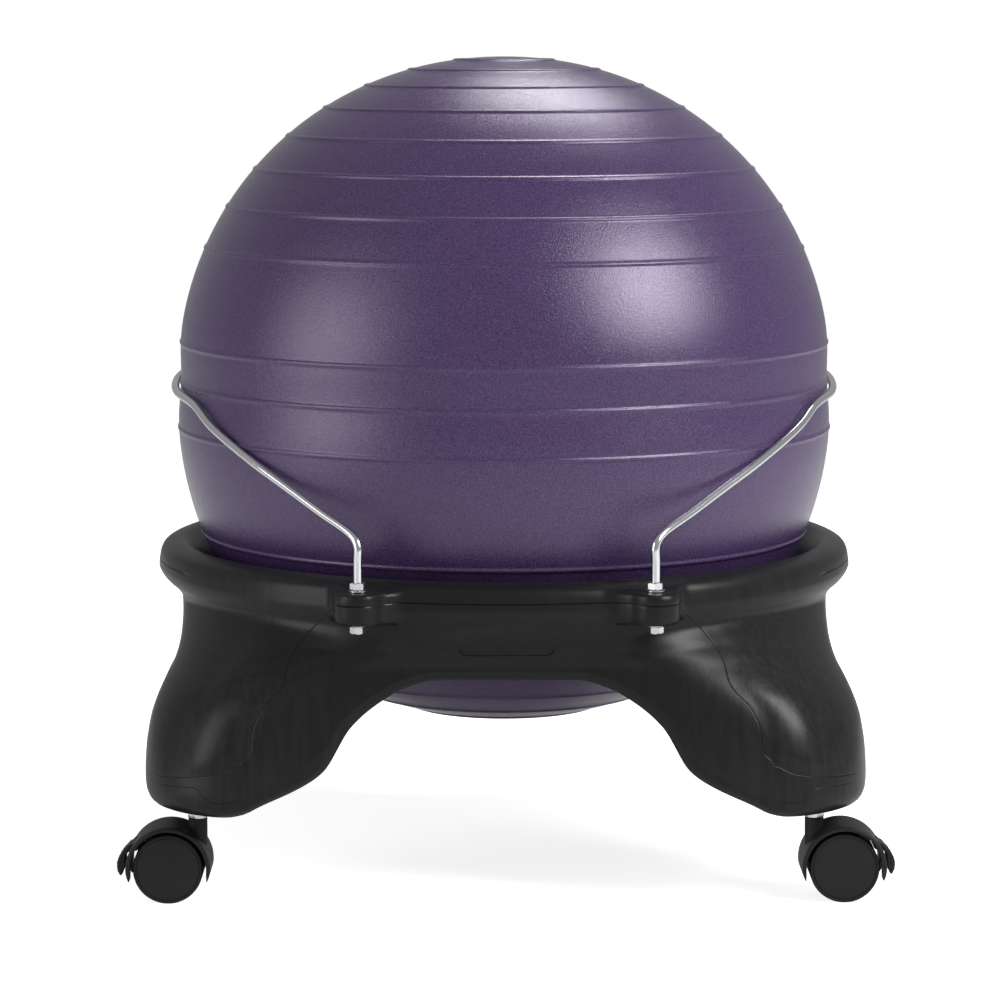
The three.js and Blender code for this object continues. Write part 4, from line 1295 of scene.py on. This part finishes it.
def make_hood(name, corner):
    """Hood: a shell over both wheels, a web between them and the column the stem stands in."""
    half = HOOD_WIDTH / 2
    window = LEVER_WIDTH / 2 + SEAT_GAP
    window_top = (math.atan2(LEVER_PIVOT[1], LEVER_PIVOT[0])
                  + math.asin((LEVER_EYE + LEVER_EYE_GAP) / math.hypot(*LEVER_PIVOT)))
    window_bottom = -2 * HOOD_TIP_TURN
    opening = (arc(HOOD_OUTER + OVERRUN, window_bottom, window_top, WEB_STEPS)
               + arc(HOOD_INNER - OVERRUN, window_top, window_bottom, WEB_STEPS))
    piece = corner_piece(hood_shell(half), corner, name)
    combined(piece, corner_piece(plate(opening, 2 * window), corner), "DIFFERENCE")
    column_top, column_foot = COLUMN_TOP - WHEEL_RADIUS, COLUMN_FOOT - WHEEL_RADIUS
    column = turned([(0, column_foot), (COLUMN_RADIUS, column_foot),
                     (COLUMN_RADIUS, column_top - COLUMN_EDGE), (COLUMN_RADIUS - COLUMN_EDGE, column_top),
                     (0, column_top)])
    column_piece = corner_piece(placed(column, (-CASTOR_TRAIL, 0, 0)), corner)
    room = cylinder(WHEEL_RADIUS + WHEEL_FACE, -half, half, FINE_SIDES)
    combined(column_piece, corner_piece(placed(room, (0, 0, 0), across=True), corner), "DIFFERENCE")
    combined(piece, column_piece, "UNION")
    web = arc(WEB_HUB, *WEB_HUB_TURNS, WEB_STEPS) + arc(HOOD_INNER + HOOD_CHEEK, *WEB_RIM_TURNS, WEB_STEPS)
    combined(piece, corner_piece(plate(web, WEB_THICKNESS), corner), "UNION")
    for side in (-1, 1):
        ear = cylinder(LEVER_EYE, -EAR_THICKNESS / 2, EAR_THICKNESS / 2)
        place = (LEVER_PIVOT[0], side * (window + EAR_THICKNESS / 2 - BORE_GAP), LEVER_PIVOT[1])
        combined(piece, corner_piece(placed(ear, place, across=True), corner), "UNION")
    bores = (
        (AXLE_RADIUS + SEAT_GAP, (0, 0, 0), half, True),
        (LEVER_PIN + SEAT_GAP, (LEVER_PIVOT[0], 0, LEVER_PIVOT[1]), window + EAR_THICKNESS + SEAT_GAP, True),
        (SWIVEL_PIN + RUNNING_GAP, (-CASTOR_TRAIL, 0, column_top), SWIVEL_DEPTH, False),
    )
    for radius, place, reach, across in bores:
        vertices, faces = cylinder(radius, -reach, reach)
        # A little turn keeps the edges of a bore off those of the ears
        vertices = moved(vertices, turn=Matrix.Rotation(BORE_TURN, 3, "Z"))
        combined(piece, corner_piece(placed((vertices, faces), place, across), corner), "DIFFERENCE")
    return shaded(piece, SHARP_HOOD_EDGE)


def make_lever(name, corner):
    """Brake lever: a leaf-shaped paddle with an eye round its pin and fine grip ribs outside."""
    pivot_x, pivot_z = LEVER_PIVOT
    to_root = math.atan2(LEAF_OUTER[0][1] - pivot_z, LEAF_OUTER[0][0] - pivot_x)
    eye = [(pivot_x + x, pivot_z + z)
           for x, z in arc(LEVER_EYE, EYE_START_TURN, to_root + EYE_OVERLAP_TURN, MEDIUM_SIDES)]
    leaf = smooth_run([*LEAF_OUTER, LEAF_TIP, *LEAF_INNER], LEAF_STEPS)
    piece = corner_piece(plate(eye + leaf, LEVER_WIDTH, LEAF_EDGE), corner, name)
    bore = cylinder(LEVER_PIN + RUNNING_GAP, -LEVER_WIDTH, LEVER_WIDTH)
    combined(piece, corner_piece(placed(bore, (pivot_x, 0, pivot_z), across=True), corner), "DIFFERENCE")
    teeth = []
    for i in range(GRIP_TEETH):
        share = mix(GRIP_START, GRIP_END, i / (GRIP_TEETH - 1))
        x, z = leaf[int(share * (len(leaf) - 1))]
        turn_along = Matrix.Rotation(GRIP_TURN * (HALF - share), 3, "Y")
        section = [(-TOOTH, -TOOTH * HALF), (TOOTH, 0), (-TOOTH, TOOTH * HALF)]
        vertices, faces = plate(section, LEVER_WIDTH - 2 * LEAF_EDGE)
        teeth.append((moved(vertices, (x, 0, z), turn_along), faces))
    combined(piece, corner_piece(joined(*teeth), corner), "UNION")
    return shaded(piece, SHARP_LEVER_EDGE)


def make_castor(name, corner, finishes):
    hood = make_hood(f"{name}_hood_shell", corner)
    hand_over(hood, f"{name}_castor", "castor_plastic", finishes["castor"], f"{name}_hood")
    lever = make_lever(f"{name}_brake_paddle", corner)
    hand_over(lever, f"{name}_brake_lever", "castor_plastic", finishes["lever"], f"{name}_brake_lever")
    wheel, wheel_faces = turned(wheel_shape(), WHEEL_SIDES)
    for letter, way in (("a", -1), ("b", 1)):
        vertices = moved(along_axle(wheel, way), (0, way * (WEB_THICKNESS / 2 + SEAT_GAP), 0))
        node = f"{name}_wheel_{letter}"
        piece = corner_piece((vertices, wheel_faces), corner, f"{node}_piece")
        hand_over(shaded(piece), node, "wheel_plastic", finishes["wheel"], node)
    pin_foot, pin_top = COLUMN_TOP - SWIVEL_DEPTH + SEAT_GAP, COLUMN_TOP + SEAT_GAP
    collar_top, stem_top = FOOT_BOTTOM - SEAT_GAP, FOOT_BOTTOM + STEM_LENGTH
    stem = rounded_profile([
        (0, pin_foot), (SWIVEL_PIN, pin_foot), (SWIVEL_PIN, pin_top), (COLLAR_RADIUS, pin_top),
        (COLLAR_RADIUS, collar_top), (STEM_RADIUS, collar_top), (STEM_RADIUS, stem_top - STEM_TIP),
        (STEM_RADIUS - STEM_TIP, stem_top), (0, stem_top)], COLLAR_EDGE)
    vertices, faces = turned(stem)
    piece = solid(f"{name}_stem_piece", moved(vertices, foot_place(*corner)), faces)
    hand_over(shaded(piece), "root", "plated_stem", finishes["stem"], f"{name}_stem")


# Materials

def new_material(name, **fixed):
    """A material with a Principled shader and the settings that are the same all over."""
    material = bpy.data.materials.new(name)
    material.use_nodes = True
    tree = Tree(material.node_tree)
    shader = material.node_tree.nodes["Principled BSDF"]
    for setting, value in fixed.items():
        shader.inputs[setting.replace("_", " ").title().replace("Ior", "IOR")].default_value = value
    return material, tree, shader


def connect(tree, shader, **values):
    for name, value in values.items():
        tree.node_tree.links.new(value.socket, shader.inputs[name.replace("_", " ").title()])


def object_place(tree):
    return tree.add("ShaderNodeTexCoord", None, out=3)


def ball_skin():
    """Purple vinyl: a fine even stipple, a satin gloss and faint cloudy patches."""
    material, tree, shader = new_material("ball_vinyl", specular_ior_level=SKIN_SPECULAR,
                                          specular_tint=SKIN_TINT)
    place = object_place(tree)
    stipple = tree.noise(place, SKIN_STIPPLE_SCALE, MEDIUM_DETAIL, STIPPLE_NOISE_ROUGHNESS)
    grains = tree.noise(place, SKIN_GRAIN_SCALE)
    clouds = tree.noise(place, SKIN_CLOUD_SCALE, MEDIUM_DETAIL)
    fleck = ((stipple - HALF) * SKIN_FLECK_CONTRAST + HALF).clamp()
    cloudy = tree.mix_colour(clouds, SKIN_DEEP, SKIN_PLAIN)
    flecked = tree.mix_colour(fleck * SKIN_FLECK_SHARE, cloudy, SKIN_FLECK)
    bumpy = tree.bump(stipple + grains * HALF, SKIN_BUMP * MM, SKIN_BUMP_STRENGTH)
    connect(tree, shader, Base_Color=flecked, Normal=bumpy,
            Roughness=clouds * SKIN_GLOSS_SPREAD + SKIN_ROUGHNESS)
    return material


def mould_line(tree, along, across, places):
    """How much of a thin line there is at a place: 1 in the line, whose run is a table of places."""
    low, high = places[0][0], places[-1][0]
    value_at = curve_through(places)
    places = [(a, value_at(a)) for a in np.linspace(low, high, MOULD_LINE_STOPS)]
    least, most = min(p[1] for p in places), max(p[1] for p in places)
    stops = [((a - low) / (high - low), ((b - least) / (most - least),) * 3) for a, b in places]
    share = (along - low * MM) / ((high - low) * MM)
    run = tree.add("ShaderNodeValToRGB", {"stops": stops}, share)
    off = (across - (run * ((most - least) * MM) + least * MM)) / (MOULD_LINE_WIDTH * MM)
    return (-(off * off)).exp() * (share > 0) * (share < 1)


def moulded_plastic():
    """Black blow-moulded plastic: drag lines down the walls, mould lines drawn near-black as painted shade in
    their creases, and an uneven satin gloss.
    """
    material, tree, shader = new_material("moulded_black", specular_ior_level=MOULDED_SPECULAR)
    place = object_place(tree)
    x, y, z = (tree.add("ShaderNodeSeparateXYZ", None, place, out=i) for i in range(3))
    on_front = y.abs() > MOULD_LINE_REACH * MM
    leg = mould_line(tree, z, x.abs(), LEG_LINE)
    foot = mould_line(tree, x.abs(), z, FOOT_LINE)
    toe = mould_line(tree, x.abs(), z, TOE_LINE)
    # Mask of the mould lines: a fine groove in the bump, with painted shade darkening the colour
    line = leg.most(foot).most(toe) * on_front
    lines = tree.noise(tree.stretched(place, DRAG_LINE_STRETCH), DRAG_LINE_SCALE, FINE_DETAIL,
                       DRAG_NOISE_ROUGHNESS)
    streaks = tree.noise(tree.stretched(place, DRAG_STREAK_STRETCH), DRAG_STREAK_SCALE, MEDIUM_DETAIL)
    patches = tree.noise(place, PATCH_SCALE)
    pits = tree.noise(place, PIT_SCALE)
    drag = ((lines - HALF) * DRAG_CONTRAST + HALF).clamp()
    across = x.abs().least((y - AXIS_Y).abs())
    off_panel = ((across - PANEL_HALF * MM) / (PANEL_FADE * MM)).clamp()
    on_leg = off_panel * (1 - PANEL_DRAG_SHARE) + PANEL_DRAG_SHARE
    marks = drag * streaks * on_leg
    worn = tree.mix_colour(marks, MOULDED_DARK, MOULDED_LIGHT)
    # The mould lines are painted near-black, as painted shade in their creases
    colour = tree.mix_colour(line, worn, MOULD_LINE_SHADE_COLOUR)
    bumpy = tree.bump(lines * on_leg * DRAG_BUMP_SHARE + pits * PIT_BUMP_SHARE - line * LINE_BUMP_SHARE,
                      MOULDED_BUMP * MM, MOULDED_BUMP_STRENGTH)
    connect(tree, shader, Base_Color=colour, Normal=bumpy,
            Roughness=patches * MOULDED_GLOSS_SPREAD + marks * MARK_ROUGHNESS + MOULDED_ROUGHNESS)
    return material


def plain_plastic(name, colour, light, roughness, scale):
    """Injection-moulded plastic with a fine even texture."""
    material, tree, shader = new_material(name, specular_ior_level=MOULDED_SPECULAR)
    place = object_place(tree)
    grain = tree.noise(place, scale, MEDIUM_DETAIL)
    patches = tree.noise(place, PLAIN_PATCH_SCALE)
    connect(tree, shader, Base_Color=tree.mix_colour(patches, colour, light),
            Roughness=grain * PLAIN_GLOSS_SPREAD + roughness,
            Normal=tree.bump(grain, PLAIN_BUMP * MM, PLAIN_BUMP_STRENGTH))
    return material


def plated_steel(name, roughness, along):
    """Bright zinc plate with faint drawing lines and small dull spots."""
    material, tree, shader = new_material(name, metallic=1.0)
    place = object_place(tree)
    lines = tree.noise(tree.stretched(place, along), PLATE_LINE_SCALE, MEDIUM_DETAIL)
    spots = tree.noise(place, PLATE_SPOT_SCALE, FINE_DETAIL)
    dull = ((spots - PLATE_SPOT_LEVEL) * PLATE_SPOT_CONTRAST).clamp()
    connect(tree, shader, Base_Color=tree.mix_colour(dull, PLATE_BRIGHT, PLATE_DULL),
            Roughness=lines * PLATE_GLOSS_SPREAD + dull * PLATE_DULL_ROUGHNESS + roughness,
            Normal=tree.bump(lines, PLATE_BUMP * MM, PLATE_BUMP_STRENGTH))
    return material


# Stage: a pale floor and backdrop that the camera sees as white, with the floor's soft shadows kept

def seen_share(tree):
    """How much of the stage's white shows: all to the camera, only a share of it in the gloss."""
    rays = tree.node_tree.nodes.new("ShaderNodeLightPath").outputs
    camera_ray, glossy_ray, clear_ray = (
        Value(tree, rays[f"Is {kind} Ray"]) for kind in ("Camera", "Glossy", "Transmission"))
    return camera_ray.most(glossy_ray * MIRRORED_SHARE).most(clear_ray)


def blend_in(tree, plain, white):
    """Sends the plain shader to the tree's output, with the white one where it is seen."""
    blend = tree.add("ShaderNodeMixShader", None, seen_share(tree), Value(tree, plain), white)
    output = next(node for node in tree.node_tree.nodes if node.bl_idname.startswith("ShaderNodeOutput"))
    tree.node_tree.links.new(blend.socket, output.inputs["Surface"])


def stage_material():
    material, tree, shader = new_material("pale_floor", roughness=FLOOR_ROUGHNESS, specular_ior_level=0.0)
    shader.inputs["Base Color"].default_value = (*FLOOR_COLOUR, 1)
    glow = tree.add("ShaderNodeEmission", None, (*WHITE, 1), FLOOR_GLOW)
    both = tree.add("ShaderNodeAddShader", None, Value(tree, shader.outputs[0]), glow)
    blend_in(tree, shader.outputs[0], both)
    return material


def make_floor():
    bpy.ops.mesh.primitive_plane_add(size=FLOOR_SIZE)
    floor = bpy.context.object
    floor.name = "floor"
    floor.data.materials.append(stage_material())


def make_world():
    world = bpy.data.worlds.new("studio")
    bpy.context.scene.world = world
    world.use_nodes = True
    tree = Tree(world.node_tree)
    plain = world.node_tree.nodes["Background"]
    plain.inputs["Color"].default_value = (*WORLD_COLOUR, 1)
    plain.inputs["Strength"].default_value = WORLD_STRENGTH
    blend_in(tree, plain.outputs[0], tree.add("ShaderNodeBackground", None, (*WHITE, 1), 1.0))


def make_lamp(name, place, width, height, power):
    lamp = bpy.data.lights.new(name, "AREA")
    lamp.shape = "RECTANGLE"
    lamp.size, lamp.size_y = width, height
    lamp.energy = power
    holder = object_of(name, lamp)
    holder.location = place
    holder.rotation_euler = (Vector(LAMP_AIM) - Vector(place)).to_track_quat("-Z", "Y").to_euler()


def make_camera():
    camera = bpy.data.cameras.new("camera")
    camera.lens = CAMERA_LENS
    camera.shift_x = CAMERA_SHIFT
    holder = object_of("camera", camera)
    turn = math.radians(CAMERA_ANGLE)
    back = CAMERA_DISTANCE * MM
    holder.location = (-back * math.sin(turn), AXIS_Y - back * math.cos(turn), CAMERA_HEIGHT * MM)
    holder.rotation_euler = (math.radians(90 - CAMERA_PITCH), 0, -turn)
    bpy.context.scene.camera = holder


make_camera()
make_world()
make_floor()
for lamp in LAMPS:
    make_lamp(*lamp)
bpy.context.scene.view_settings.view_transform = "Standard"

finishes = {"skin": ball_skin(), "moulded": moulded_plastic()}
finishes.update((key, plated_steel(*row)) for key, row in PLATES.items())
finishes.update((key, plain_plastic(*row)) for key, row in PLASTICS.items())

hand_over(make_ball(finishes["skin"]), "root", "ball_skin", finishes["skin"], "ball")
hand_over(make_base(), "root", "base_plastic", finishes["moulded"], "base")
hand_over(make_stay(), "root", "plated_rod", finishes["rod"], "stay_hoop")
make_fasteners(finishes["fastener"])
for corner_name, *corner in CORNERS:
    make_castor(corner_name, corner, finishes)

# CAD pieces whose shape is right as it is get their material
CARRIED_OVER = {"stem_socket": "socket", "axle": "stem", "lever_pin": "stem", "ball_plug": "plug"}
for node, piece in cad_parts.items():
    for ending, finish in CARRIED_OVER.items():
        if node.endswith(ending):
            for slot in piece.material_slots:
                slot.material = finishes[finish]
